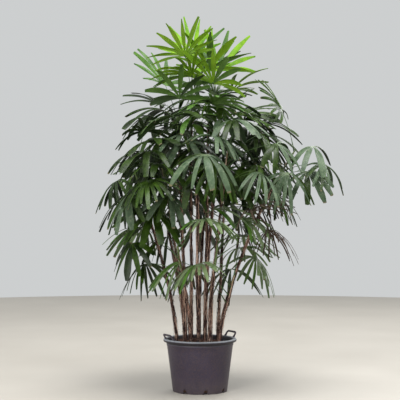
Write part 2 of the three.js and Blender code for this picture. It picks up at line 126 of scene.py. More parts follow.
CROWN_REACH = (
    (0.480, 0.300),
    (0.620, 0.560),
    (0.900, 0.690),
    (1.350, 0.780),
    (1.800, 0.660),
    (2.150, 0.560),
    (2.660, 0.330),
)
LONG_SIDE = {"turn": 0, "width": 40, "height": 1.450, "depth": 0.420, "extra": 0.250}

SEED = 36  # of the growth rule
SEEDS = {
    "leaflets": 7000, "shades": 9000, "colours": 3000, "sheaths": 500, "strands": 1500,
    "soil": 4242, "litter": 777,
}

# Foot, tip, number of fronds, leafy share, direction of the first frond, its age.
CANES = [
    dict(zip(("foot", "tip", "fronds", "leafy", "turn", "youngest"), row))
    for row in (
        ((-0.060, 0.020), (-0.062, 0.010, 2.145), 10, 0.46, 95, 0),
        ((0.032, -0.020), (0.150, -0.040, 1.960), 10, 0.4, 45, 0.12),
        ((0.036, 0.075), (0.070, 0.130, 2.080), 9, 0.43, 60, 0),
        ((-0.098, -0.030), (-0.160, -0.060, 1.880), 9, 0.4, 190, 0.15),
        ((-0.012, -0.075), (-0.030, -0.220, 1.760), 9, 0.34, 265, 0.4),
        ((0.128, 0.030), (0.650, 0.040, 1.650), 7, 0.22, 20, 0.4),
        ((-0.106, 0.060), (-0.300, 0.170, 1.700), 9, 0.42, 140, 0.35),
        ((0.060, -0.080), (0.200, -0.270, 1.680), 8, 0.28, 305, 0.4),
        ((-0.158, 0.005), (-0.460, -0.050, 1.520), 7, 0.36, 185, 0.4),
        ((-0.008, 0.135), (0.060, 0.340, 1.680), 9, 0.42, 95, 0.35),
        ((-0.062, -0.100), (-0.150, -0.270, 1.010), 3, 0.3, 240, 0.5),
        ((0.066, -0.122), (0.110, -0.250, 1.020), 3, 0.3, 290, 0.4),
        ((0.132, -0.045), (0.240, -0.140, 0.800), 7, 0.5, 330, 0.6),
        ((0.124, 0.105), (0.200, 0.340, 1.500), 5, 0.28, 62, 0.3),
        ((-0.100, 0.125), (-0.280, 0.260, 1.290), 6, 0.36, 140, 0.4),
    )
]

TALLEST = (0, 1, 2)
SHORT = (10, 11, 12)

# ---- sizes of the finer surface

FURTHER_STEPS = {0.5: 0.10, 0.25: 0.12}  # where, and the share of cells that may be another's
FURTHER_YOUNGEST = 0.32  # the bright fans at the top stand apart, with none between them
FURTHER_REACH = 0.74  # share of the crown's reach
FURTHER_HEIGHTS = (1.150, 2.150)  # of the fans' middles: the crown is thick between these
BARE_MIDDLE = {"half_width": 0.260, "top": 1.240}  # no further fan hides the canes here
LEAFLETS_HALVED = 0.35  # share of the fronds whose leaflets are twice as many and half as wide

LEAFLET_ACROSS = 7  # points across each face of a leaflet
LEAFLET_THICKNESS = 0.0008
PLEAT_DEPTH = 0.0013
LEAFLET_FOLD = (0.30, 0.07)  # edge drop, as a share of the half width, at the base and at the tip
TOOTH_LENGTH = 0.010
HALF_WIDTH = 0.58  # of a halved leaflet, as a share of the whole one's
LIMPNESS = (0.7, 0.75)  # times the sag: the least, and by how much it varies
LEAFLET_TWIST = 1.5  # radians, half of it each way
LEAFLET_CURL = 0.8
LENGTH_VARIES = 0.22
FOOT_TO_MIDDLE = (0.30, 1)  # width at the foot and at the widest
YOUNG_UNTIL = 0.45  # a frond's age
# The next four are for a full-grown frond and for a young one, as shares of length or width.
SLIMNESS = (0.74, 0.62)
BLUNTNESS = (0.42, 0.15)
WIDENS_UNTIL = (0.42, 0.55)
NARROWS_FROM = (0.70, 0.50)
SLIMNESS_VARIES = 0.34
BLUNTNESS_VARIES = 0.30

# ---- small helpers


def stream(seed):
    """Numbers from 0 to 1 that are the same every time, as in the solids."""
    state = (seed * 2654435761) % 4294967296

    def following():
        nonlocal state
        state = (state * 1664525 + 1013904223) % 4294967296
        return state / 4294967296

    following()
    following()
    return following


def mix(pair, share):
    return pair[0] + (pair[1] - pair[0]) * share


def unit(vectors):
    return vectors / np.linalg.norm(vectors, axis=-1, keepdims=True)


def smooth(share):
    share = np.clip(share, 0, 1)
    return share * share * (3 - 2 * share)


def turns(count):
    """Evenly spaced angles of one turn."""
    return 2 * math.pi * np.arange(count) / count


def spoke(angle):
    """Unit vectors that point away from the upright axis at an angle round it."""
    return np.stack([np.cos(angle), np.sin(angle), 0 * angle], -1)


# ---- the growth rule


def cane_point(index, share):
    cane = CANES[index]
    share = np.asarray(share, float)
    (fx, fy), (tx, ty, tz) = cane["foot"], cane["tip"]
    lean = share ** LEAN_POWER
    sway = SWAY * np.sin(2 * math.pi * (1.3 * share + 0.37 * index)) * share
    height = SOIL_LEVEL + (tz - SOIL_LEVEL) * share
    return np.stack([fx + (tx - fx) * lean + sway, fy + (ty - fy) * lean - sway, height], -1)


def cane_direction(index, share):
    step = 0.01
    return unit(cane_point(index, share + step) - cane_point(index, share - step))


def cane_radius(share):
    return CANE_FOOT_RADIUS + (CANE_TOP_RADIUS - CANE_FOOT_RADIUS) * share


def frond_share(index, k):
    cane = CANES[index]
    return 1 - cane["leafy"] * (BARE_TIP + (1 - BARE_TIP) * k / (cane["fronds"] - 1))


def shape_frond(index, k, turn):
    """One frond: its stalk's points, its fan's frame, and the lines and sides of its leaflets."""
    cane = CANES[index]
    random = stream(SEED + 100 * index + int(k) + round(100 * (k % 1)))

    def scatter(name):
        return SCATTER[name] * (random() - 0.5)

    age = cane["youngest"] + (1 - cane["youngest"]) * k / (cane["fronds"] - 1)
    azimuth = math.radians(cane["turn"] + GOLDEN_ANGLE * k + turn + scatter("azimuth"))
    length = mix(PETIOLE_LENGTH, math.sqrt(age)) * (1 + scatter("petiole_length"))
    off_axis = math.radians(mix(PETIOLE_OFF_AXIS, age ** 0.7) + scatter("off_axis"))
    sag = math.radians(mix(PETIOLE_SAG, age) + scatter("petiole_sag"))
    nod = math.radians(mix(FAN_NOD, age) + scatter("nod"))
    roll = math.radians(scatter("roll"))
    blade_sag = mix(BLADE_SAG, age ** 0.6) * (1 + scatter("blade_sag"))
    fan_size = BLADE_LENGTH * (1 + scatter("fan_size"))
    more = MORE_LEAFLETS * random() + MORE_WHEN_YOUNG * (1 - age) * (1 - age)
    count = FEWEST_LEAFLETS + math.floor(more)

    share = frond_share(index, k)
    root = cane_point(index, share)
    axis = cane_direction(index, share)
    outward = np.array([math.cos(azimuth), math.sin(azimuth), 0])
    level = unit(outward - axis * (outward @ axis))
    start = axis * math.cos(off_axis) + level * math.sin(off_axis)

    flat = unit(np.array([start[0], start[1], 0]))
    rise = math.asin(start[2])

    def aim(angle):
        return flat * math.cos(angle) + np.array([0, 0, math.sin(angle)])

    stalk = [root]
    for j in range(PETIOLE_STEPS):
        stalk.append(stalk[j] + aim(rise - sag * (j + 0.5) / PETIOLE_STEPS) * (length / PETIOLE_STEPS))
    hub = stalk[-1]

    ahead = aim(rise - sag - nod)
    upright = aim(rise - sag - nod + math.pi / 2)
    across = np.cross(upright, ahead)
    normal = upright * math.cos(roll) + across * math.sin(roll)
    side = np.cross(normal, ahead)

    cup = mix(FAN_CUP, age)
    spread = math.radians(mix(FAN_SPREAD, math.sqrt(age)))
    angle = -spread + 2 * spread * (np.arange(count) + 0.5) / count
    draws = np.array([[random(), random()] for _ in range(count)]) - 0.5
    shorter = 1 - BLADE_SIDE_SHORTENING * (np.abs(angle) / spread) ** 2
    reach = fan_size * shorter * (1 + SCATTER["blade_length"] * draws[:, 0])
    room = BLADE_CROWDING * reach * 2 * spread / count
    width = np.minimum(BLADE_WIDTH * (1 + SCATTER["blade_width"] * draws[:, 1]), room)

    first = unit(np.cos(angle)[:, None] * ahead + np.sin(angle)[:, None] * side + cup * normal)
    first_side = unit(np.cross(normal, first))
    frond = {
        "cane": index, "k": k, "age": age, "stalk": np.array(stalk), "hub": hub, "ahead": ahead,
        "normal": normal, "side": side, "spread": spread, "count": count, "first": first,
        "first_side": first_side, "sag": blade_sag, "reach": reach, "width": width,
    }
    frond["line"], _, frond["blade_side"] = blade_lines(frond, np.ones(count))
    return frond


def blade_lines(frond, limpness):
    """The leaflets' points, directions and sides, with each leaflet's sag times its limpness."""
    travelled = (np.arange(BLADE_STEPS) + 0.5) / BLADE_STEPS
    bend = frond["sag"] * limpness[:, None] * travelled ** BLADE_SAG_POWER
    first, first_side = frond["first"][:, None], frond["first_side"][:, None]
    face = np.cross(first, first_side)
    pull = (
        first * np.maximum(0, -first[..., 2:])
        - face * face[..., 2:]
        - first_side * first_side[..., 2:] * EDGEWISE_SAG
    )
    along = unit(first + pull * bend[..., None])
    steps = np.cumsum(along * (frond["reach"] / BLADE_STEPS)[:, None, None], 1)
    line = frond["hub"] + np.concatenate([0 * first, steps], 1)
    along = np.concatenate([first, along], 1)
    side = unit(first_side - along * np.sum(first_side * along, -1, keepdims=True))
    return line, along, side


# ---- space claims

claimed = np.zeros(CELL_COUNTS, np.int32)  # who has each cell, and 0 for nobody


def cells_at(points):
    """The flat indices of the cells that hold these points, each once."""
    cells = np.floor((np.reshape(points, (-1, 3)) + CELL_SHIFT) / CELL).astype(int)
    cells[:, :2] += CELL_ORIGIN
    cells = np.clip(cells, 0, np.array(CELL_COUNTS) - 1)
    return np.unique(np.ravel_multi_index(cells.T, CELL_COUNTS))


def between(a, b, apart):
    """Points from a to b, at most half a cell apart by the distance given."""
    count = math.ceil(apart / (CELL / 2))
    share = np.arange(count + 1)[:, None] / max(count, 1)
    return a + (b - a) * share


def cells_of_line(points, radius):
    offsets = radius * spoke(np.radians([0, 90, 180, 270]))
    stretches = [between(a, b, np.linalg.norm(b - a)) for a, b in zip(points, points[1:])]
    return cells_at(np.concatenate(stretches)[:, None] + offsets)


def cells_of_blade(frond, i):
    rows = []
    for step, share in zip(BLADE_STATIONS, BLADE_STATION_WIDTHS):
        half = frond["blade_side"][i, step] * frond["width"][i] * share / 2
        rows.append((frond["line"][i, step] + half, frond["line"][i, step] - half))
    hub, tip = frond["hub"], frond["line"][i, -1]
    start = tuple(hub + (corner - hub) * HUB_CLEARANCE for corner in rows[0])
    rows = [start, *rows, (tip, tip)]
    points = []
    for (left_a, right_a), (left_b, right_b) in zip(rows, rows[1:]):
        apart = np.linalg.norm(left_b - left_a)
        left, right = between(left_a, left_b, apart), between(right_a, right_b, apart)
        points += [left + (right - left) * share for share in (0, 0.25, 0.5, 0.75, 1)]
    return cells_at(np.concatenate(points))


def cells_of_middle(frond):
    edge = (frond["line"][:, BLADE_STATIONS[0]] - frond["hub"]) * HUB_CLEARANCE
    return cells_at(frond["hub"] + edge[:, None] * np.array([0, 0.5, 1])[:, None])


def crown_reach(point):
    heights = [height for height, _ in CROWN_REACH]
    if not heights[0] <= point[2] < heights[-1]:
        return 0
    plain = np.interp(point[2], heights, [reach for _, reach in CROWN_REACH])
    turn = math.atan2(point[1], point[0]) - math.radians(LONG_SIDE["turn"]) + math.pi
    aside = (turn % (2 * math.pi) - math.pi) / math.radians(LONG_SIDE["width"])
    away = (point[2] - LONG_SIDE["height"]) / LONG_SIDE["depth"]
    return plain + LONG_SIDE["extra"] * math.exp(-aside * aside - away * away)


def in_reach(point, share):
    return math.hypot(point[0], point[1]) <= share * crown_reach(point)


def hides_canes(point):
    return abs(point[0]) < BARE_MIDDLE["half_width"] and point[2] < BARE_MIDDLE["top"]


def taken(cells, mine=0):
    owners = claimed.ravel()[cells]
    return np.mean((owners != 0) & (owners != mine))


def claim(cells, owner):
    free = cells[claimed.ravel()[cells] == 0]
    claimed.ravel()[free] = owner


def place_frond(index, k, owner, crowding):
    """Tries the frond at several turns and keeps the one whose fan has the most room."""
    further = k != int(k)
    best = None
    for trial in range(TURN_TRIES):
        turn = (1 if trial % 2 else -1) * math.ceil(trial / 2) * TURN_STEP
        frond = shape_frond(index, k, turn)
        if further and index in TALLEST and frond["age"] < FURTHER_YOUNGEST:
            return None
        in_crown = FURTHER_HEIGHTS[0] < frond["hub"][2] < FURTHER_HEIGHTS[1]
        if further and not (in_crown or index in SHORT):
            continue
        middle = cells_of_middle(frond)
        stalk = np.setdiff1d(cells_of_line(frond["stalk"], PETIOLE_RADIUS), middle)
        if taken(stalk, index + 1) > crowding or taken(middle) > crowding:
            continue
        kept = []
        for i in range(frond["count"]):
            tip = frond["line"][i, -1]
            if not in_reach(tip, FURTHER_REACH if further else 1) or (further and hides_canes(tip)):
                continue
            cells = cells_of_blade(frond, i)
            if taken(cells) <= crowding and not np.isin(cells, stalk).any():
                kept.append(i)
        share = len(kept) / frond["count"]
        if best is None or share > best["share_kept"] + WORTH_TURNING:
            best = {**frond, "kept": kept, "share_kept": share, "cells": (stalk, middle)}
        if share == 1:
            break
    if best is None or len(best["kept"]) < FEWEST_BLADES:
        return None
    for cells in (*best["cells"], *[cells_of_blade(best, i) for i in best["kept"]]):
        claim(cells, owner)
    return best


def grow_fronds():
    for index in range(len(CANES)):
        line = cane_point(index, np.arange(41) / 40)
        claim(cells_of_line(line, CANE_FOOT_RADIUS), index + 1)
    fronds = []
    owner = 100
    most = max(cane["fronds"] for cane in CANES)
    for step, crowding in {0: 0, **FURTHER_STEPS}.items():
        for k, index in itertools.product(range(most), range(len(CANES))):
            if k + step > CANES[index]["fronds"] - 1:
                continue
            owner += 1
            frond = place_frond(index, k + step, owner, crowding)
            if frond:
                fronds.append(frond)
    return fronds


# ---- meshes


def loft_faces(rings, sides):
    """Four-sided faces of a closed skin through rings of an even number of points."""
    faces = []
    for r in range(rings - 1):
        a, b = r * sides, (r + 1) * sides
        for i in range(sides):
            n = (i + 1) % sides
            faces.append((a + i, a + n, b + n, b + i))
    last = (rings - 1) * sides
    for i in range(sides // 2 - 1):
        j = sides - 1 - i
        faces.append((j, j - 1, i + 1, i))
        faces.append((last + i, last + i + 1, last + j - 1, last + j))
    return np.array(faces)


def link(name, data):
    thing = bpy.data.objects.new(name, data)
    bpy.context.scene.collection.objects.link(thing)
    return thing


class Skin:
    """Collects closed skins of four-sided faces and makes one mesh object of them."""

    def __init__(self):
        self.points, self.faces, self.places, self.kinds = [], [], [], []
        self.count = 0

    def loft(self, rings, across=None, kinds=None):
        """Adds skins through rings: an array of skins, rings, points and 3."""
        skins, ring_count, sides, _ = rings.shape
        faces = loft_faces(ring_count, sides)
        size = ring_count * sides
        offsets = self.count + size * np.arange(skins)
        self.points.append(rings.reshape(-1, 3))
        self.faces.append((faces[None] + offsets[:, None, None]).reshape(-1, 4))
        u = np.arange(sides) / sides if across is None else across
        v = np.arange(ring_count) / (ring_count - 1)
        place = np.stack(np.broadcast_arrays(u[None, :], v[:, None]), -1).reshape(-1, 2)
        self.places.append(np.tile(place, (skins, 1)))
        kind = np.zeros(len(faces), int) if kinds is None else kinds(faces, sides)
        self.kinds.append(np.tile(kind, skins))
        self.count += skins * size

    def make(self, name, materials, slot, nodes, sharp=None):
        """Makes the mesh, gives it its finish, and hides the solids it stands for."""
        points = np.concatenate(self.points)
        faces = np.concatenate(self.faces)
        mesh = bpy.data.meshes.new(name)
        mesh.vertices.add(len(points))
        mesh.vertices.foreach_set("co", points.astype(np.float32).ravel())
        mesh.loops.add(faces.size)
        mesh.loops.foreach_set("vertex_index", faces.astype(np.int32).ravel())
        mesh.polygons.add(len(faces))
        mesh.polygons.foreach_set("loop_start", np.arange(0, faces.size, 4, dtype=np.int32))
        mesh.polygons.foreach_set("material_index", np.concatenate(self.kinds).astype(np.int32))
        mesh.update(calc_edges=True)
        layer = mesh.uv_layers.new(name="place")
        places = np.concatenate(self.places)[faces.ravel()]
        layer.data.foreach_set("uv", places.astype(np.float32).ravel())
        mesh.validate()
        for material in materials:
            mesh.materials.append(material)
        mesh.shade_smooth()
        if sharp:
            mesh.set_sharp_from_angle(angle=math.radians(sharp))
        piece = link(name, mesh)
        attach(piece, "root")
        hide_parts(*nodes)
        return piece


def tube(line, radii, sides):
    """Rings of a round tube along a line."""
    along = unit(np.gradient(line, axis=0))
    helper = np.array([0, 1.0, 0]) if abs(along[:, 1]).max() < 0.9 else np.array([1.0, 0, 0])
    first = unit(np.cross(along, helper))[:, None]
    second = np.cross(along[:, None], first)
    angle = turns(sides)[:, None]
    radii = np.broadcast_to(radii, len(line))[:, None, None]
    return line[:, None] + radii * (np.cos(angle) * first + np.sin(angle) * second)


# ---- materials

# The sockets of a mix node for colours.
MIX_SHARE, MIX_UNDER, MIX_OVER = 0, 6, 7
MIX_RESULT = 2

CANE_GREENS = ((0.045, 0.095, 0.022), (0.15, 0.24, 0.07), (0.25, 0.27, 0.13))
# Painted shadow: a near-black line under the rim's overhang.
RIM_SHADOW_LINE = ((-0.012, 0), (-0.004, 0.9), (0.007, 0.9), (0.012, 0))  # height from under the rim, and share


def is_socket(value):
    return isinstance(value, bpy.types.NodeSocket)


class Finish:
    """A material under construction: a short way to add and join shader nodes."""

    def __init__(self, name):
        self.material = bpy.data.materials.new(name)
        self.material.use_nodes = True
        self.nodes = self.material.node_tree.nodes
        self.links = self.material.node_tree.links
        self.shader = self.nodes["Principled BSDF"]

    def fill(self, socket, value):
        """Joins a socket to another, or sets it to a number, a vector or a colour."""
        if is_socket(value):
            self.links.new(value, socket)
        elif socket.type == "RGBA":
            socket.default_value = (*value, 1)
        else:
            socket.default_value = value

    def add(self, kind, inputs=None, **settings):
        node = self.nodes.new(kind)
        for name, value in settings.items():
            setattr(node, name, value)
        for name, value in (inputs or {}).items():
            self.fill(node.inputs[name], value)
        return node

    def places(self, kind="Object", scale=(1, 1, 1)):
        """Coordinates of a kind, Object or UV, scaled along each axis."""
        coordinates = self.add("ShaderNodeTexCoord").outputs[kind]
        return self.add("ShaderNodeMapping", {"Vector": coordinates, "Scale": scale}).outputs[0]

    def noise(self, vector, scale, detail, roughness):
        inputs = {"Vector": vector, "Scale": scale, "Detail": detail, "Roughness": roughness}
        return self.add("ShaderNodeTexNoise", inputs).outputs["Fac"]

    def clouds(self, scale, detail, roughness=0.6):
        """Noise that is as long as it is wide."""
        return self.noise(self.places(), scale, detail, roughness)

    def grain(self, kind, scale, detail, roughness=0.6):
        """Noise that is drawn out along the axes of Object or UV coordinates."""
        return self.noise(self.places(kind, scale), 1, detail, roughness)

    def ramp(self, share, *stops):
        """Colours or greys at places from 0 to 1."""
        node = self.add("ShaderNodeValToRGB", {"Fac": share})
        elements = node.color_ramp.elements
        while len(elements) < len(stops):
            elements.new(0.5)
        for element, (place, colour) in zip(elements, stops):
            element.position = place
            element.color = (*colour, 1) if isinstance(colour, tuple) else (colour, colour, colour, 1)
        return node.outputs["Color"]

    def blend(self, share, under, over):
        sockets = {MIX_SHARE: share, MIX_UNDER: under, MIX_OVER: over}
        return self.add("ShaderNodeMix", sockets, data_type="RGBA").outputs[MIX_RESULT]

    def lay(self, under, over, share, *stops):
        """Lays a colour over another by as much as the stops say."""
        return self.blend(self.ramp(share, *stops), under, over)

    def part(self, vector, axis):
        return self.add("ShaderNodeSeparateXYZ", {"Vector": vector}).outputs[axis]

    def along(self):
        """The share of a leaflet's, stalk's or cane's length, which its UV places hold."""
        return self.part(self.add("ShaderNodeTexCoord").outputs["UV"], "Y")

    def product(self, a, b):
        return self.add("ShaderNodeMath", {0: a, 1: b}, operation="MULTIPLY").outputs[0]

    def bump(self, height, strength, distance, below=None):
        inputs = {"Height": height, "Strength": strength, "Distance": distance}
        if below:
            inputs["Normal"] = below
        return self.add("ShaderNodeBump", inputs).outputs["Normal"]

    def finish(self, colour, roughness, normal=None):
        for name, socket in (("Base Color", colour), ("Roughness", roughness), ("Normal", normal)):
            if socket:
                self.links.new(socket, self.shader.inputs[name])
        return self.material


def leaf_finish(name, dark, light, rib, roughness, shine):
    """Leaf skin: fine ribs along the leaflet, mottled tones, pale blotches, and a paler foot that is a
    painted reflection of the sky.
    """
    f = Finish(name)
    ribs = f.grain("UV", (38, 1.2, 1), 2, 0.5)
    blotch = f.clouds(48, 4, 0.7)
    fleck = f.grain("UV", (60, 14, 1), 3)
    colour = f.lay(dark, light, f.clouds(14, 4), (0.36, 0), (0.62, 1))
    colour = f.lay(colour, rib, ribs, (0.52, 0), (0.72, 0.5))
    colour = f.lay(colour, rib, blotch, (0.52, 0), (0.70, 0.5))
    colour = f.lay(colour, rib, fleck, (0.64, 0), (0.76, 0.45))
    # The foot of each leaflet is paler: a painted reflection of the bright sky on its upturned base.
    colour = f.lay(colour, rib, f.along(), (0.02, 0.6), (0.16, 0))
    rough = f.ramp(blotch, (0.3, roughness), (0.75, roughness + 0.18))
    normal = f.bump(blotch, 0.3, 0.003, f.bump(ribs, 0.4, 0.0014))
    f.shader.inputs["Specular IOR Level"].default_value = shine
    return f.finish(colour, rough, normal)


def underside_finish(name, dark, light):
    """The paler, duller underside of a leaflet."""
    f = Finish(name)
    ribs = f.grain("UV", (44, 1.2, 1), 2, 0.5)
    colour = f.lay(dark, light, f.clouds(11, 3), (0.3, 0), (0.7, 1))
    colour = f.lay(colour, light, ribs, (0.5, 0), (0.75, 0.4))
    return f.finish(colour, f.ramp(ribs, (0.3, 0.5), (0.8, 0.64)), f.bump(ribs, 0.4, 0.0012))


def dry_finish(name, dark, brown, pale):
    """A dead leaflet, streaked along its length."""
    f = Finish(name)
    streaks = f.grain("UV", (26, 2.5, 1), 4)
    colour = f.ramp(streaks, (0.25, dark), (0.55, brown), (0.8, pale))
    return f.finish(colour, f.ramp(streaks, (0.2, 0.85), (0.8, 0.65)), f.bump(streaks, 0.6, 0.002))


def stalk_finish(name, dark, light):
    f = Finish(name)
    stripes = f.grain("UV", (14, 2.5, 1), 3)
    colour = f.lay(dark, light, f.clouds(16, 3), (0.3, 0), (0.7, 1))
    colour = f.lay(colour, light, stripes, (0.45, 0), (0.75, 0.45))
    return f.finish(colour, f.ramp(stripes, (0.3, 0.36), (0.8, 0.52)), f.bump(stripes, 0.3, 0.001))


def cane_finish(name, dark, tan, pale_share):
    """Coarse fibre cloth wrapped round a cane: dark and tan patches, near-black streaks of painted shade
    between the fibres, pale threads and a green top.
    """
    f = Finish(name)
    threads = f.grain("UV", (14, 26, 1), 4, 0.65)
    weave = f.grain("Object", (420, 420, 26), 4, 0.7)
    streaks = f.grain("Object", (130, 130, 9), 3)
    patch = f.noise(f.places("Object", (1, 1, 0.45)), 22, 3, 0.6)
    darkest = tuple(0.12 * part for part in dark)
    low = f.ramp(weave, (0.36, darkest), (0.50, dark), (0.64, tan))
    high = f.ramp(weave, (0.36, dark), (0.50, tan), (0.64, (0.62, 0.45, 0.33)))
    green = f.ramp(weave, (0.3, CANE_GREENS[0]), (0.6, CANE_GREENS[1]), (0.72, CANE_GREENS[2]))
    colour = f.lay(low, high, patch, (0.60 - pale_share, 0), (0.70 - pale_share, 1))
    # Near-black streaks, sunk by the bump below, are painted shade in the gaps between the fibres.
    colour = f.lay(colour, (0.010, 0.004, 0.003), streaks, (0.48, 0.94), (0.53, 0))
    colour = f.lay(colour, (0.64, 0.43, 0.33), threads, (0.56, 0), (0.60, 0.95))
    colour = f.lay(colour, green, f.along(), (0.76, 0), (0.83, 0.85))
    normal = f.bump(streaks, 0.7, 0.005, f.bump(weave, 0.9, 0.003))
    return f.finish(colour, f.ramp(weave, (0.2, 0.95), (0.8, 0.75)), normal)


def strand_finish(name, low, high):
    f = Finish(name)
    grain = f.grain("UV", (4, 20, 1), 3)
    colour = f.lay(low, high, f.clouds(60, 3), (0.3, 0), (0.7, 1))
    return f.finish(colour, f.ramp(grain, (0.3, 0.7), (0.7, 0.92)), f.bump(grain, 0.4, 0.001))


def soil_finish():
    """Moist brown peat with bark dust and pale crumbs."""
    f = Finish("potting_mix")
    crumbs = f.clouds(260, 5, 0.75)
    lumps = f.clouds(45, 4)
    specks = f.add("ShaderNodeTexVoronoi", {"Vector": f.places(), "Scale": 190}).outputs["Distance"]
    black, brown, tan = (0.012, 0.006, 0.004), (0.060, 0.028, 0.018), (0.17, 0.085, 0.055)
    colour = f.ramp(crumbs, (0.28, black), (0.5, brown), (0.72, tan))
    colour = f.lay(colour, (0.10, 0.048, 0.03), lumps, (0.4, 0), (0.66, 0.7))
    colour = f.lay(colour, (0.26, 0.16, 0.10), specks, (0.08, 0.8), (0.16, 0))
    return f.finish(colour, f.ramp(lumps, (0.3, 0.9), (0.7, 0.72)), f.bump(crumbs, 0.8, 0.004))


def chip_finish():
    f = Finish("bark_chips")
    grain = f.grain("Object", (260, 60, 90), 4)
    dark, brown, tan = (0.05, 0.022, 0.014), (0.15, 0.07, 0.045), (0.30, 0.17, 0.11)
    colour = f.ramp(grain, (0.3, dark), (0.55, brown), (0.75, tan))
    colour = f.lay(colour, (0.075, 0.04, 0.028), f.clouds(50, 2), (0.5, 0), (0.62, 0.6))
    return f.finish(colour, f.ramp(grain, (0.3, 0.88), (0.7, 0.7)), f.bump(grain, 0.6, 0.002))


def pot_finish():
    """Matt dark plastic, faintly streaked down the wall, speckled and dusty low down, with a painted
    highlight on upward faces and a painted shadow line under the rim.
    """
    f = Finish("pot_plastic")
    streaks = f.grain("UV", (220, 2.2, 1), 4, 0.65)
    cloud = f.clouds(7, 4)
    height = f.part(f.places(), "Z")
    upward = f.part(f.add("ShaderNodeNewGeometry").outputs["Normal"], "Z")
    low_dust = f.product(f.ramp(height, (0.0, 0.6), (0.12, 0)), cloud)
    # Faces turned upward, the top of the rolled rim most, are lightened: a painted highlight of the light
    # from above.
    rim_highlight = f.product(f.ramp(upward, (0.08, 0), (0.34, 1)), f.ramp(cloud, (0.3, 0.65), (0.7, 1)))
    under_rim = POT_HEIGHT - RIM_DEPTH
    shadow_line = [(under_rim + away, share) for away, share in RIM_SHADOW_LINE]
    colour = f.lay((0.023, 0.0150, 0.034), (0.038, 0.0265, 0.054), cloud, (0.35, 0), (0.68, 1))
    colour = f.lay(colour, (0.066, 0.048, 0.078), streaks, (0.5, 0), (0.72, 0.38))
    colour = f.lay(colour, (0.064, 0.038, 0.041), f.clouds(85, 3, 0.65), (0.46, 0), (0.62, 0.55))
    colour = f.lay(colour, (0.13, 0.110, 0.125), f.clouds(260, 2, 0.5), (0.62, 0), (0.70, 0.5))
    colour = f.blend(low_dust, colour, (0.14, 0.11, 0.10))
    # A painted shadow line just under the rim.
    colour = f.lay(colour, (0.006, 0.005, 0.007), height, *shadow_line)
    # The painted highlight on the upward faces.
    colour = f.blend(rim_highlight, colour, (0.34, 0.37, 0.40))
    normal = f.bump(streaks, 0.12, 0.0006, f.bump(f.clouds(700, 3, 0.7), 0.22, 0.0008))
    return f.finish(colour, f.ramp(streaks, (0.35, 0.42), (0.7, 0.58)), normal)


def floor_finish():
    f = Finish("pale_floor")
    cloud = f.clouds(0.9, 5)
    colour = f.lay((0.415, 0.385, 0.335), (0.475, 0.445, 0.395), cloud, (0.3, 0), (0.7, 1))
    return f.finish(colour, f.ramp(cloud, (0.3, 0.5), (0.7, 0.62)))


# ---- fronds

U_HALF = np.linspace(-1, 1, LEAFLET_ACROSS)
PLEATS = np.where(np.arange(LEAFLET_ACROSS) % 2 == 0, -1.0, 1.0)
PLEATS[[0, -1]] = 0


def halved(frond):
    """The frond with two leaflets in the place of each."""
    turn = frond["spread"] / frond["count"] / 2 * np.tile([-1, 1], frond["count"])[:, None]
    first, first_side = np.repeat(frond["first"], 2, 0), np.repeat(frond["first_side"], 2, 0)
    return {
        **frond,
        "first": first * np.cos(turn) + first_side * np.sin(turn),
        "first_side": first_side * np.cos(turn) - first * np.sin(turn),
        "reach": np.repeat(frond["reach"], 2),
        "width": np.repeat(frond["width"], 2) * HALF_WIDTH,
        "count": 2 * frond["count"],
        "kept": [2 * i + half for i in frond["kept"] for half in (0, 1)],
    }


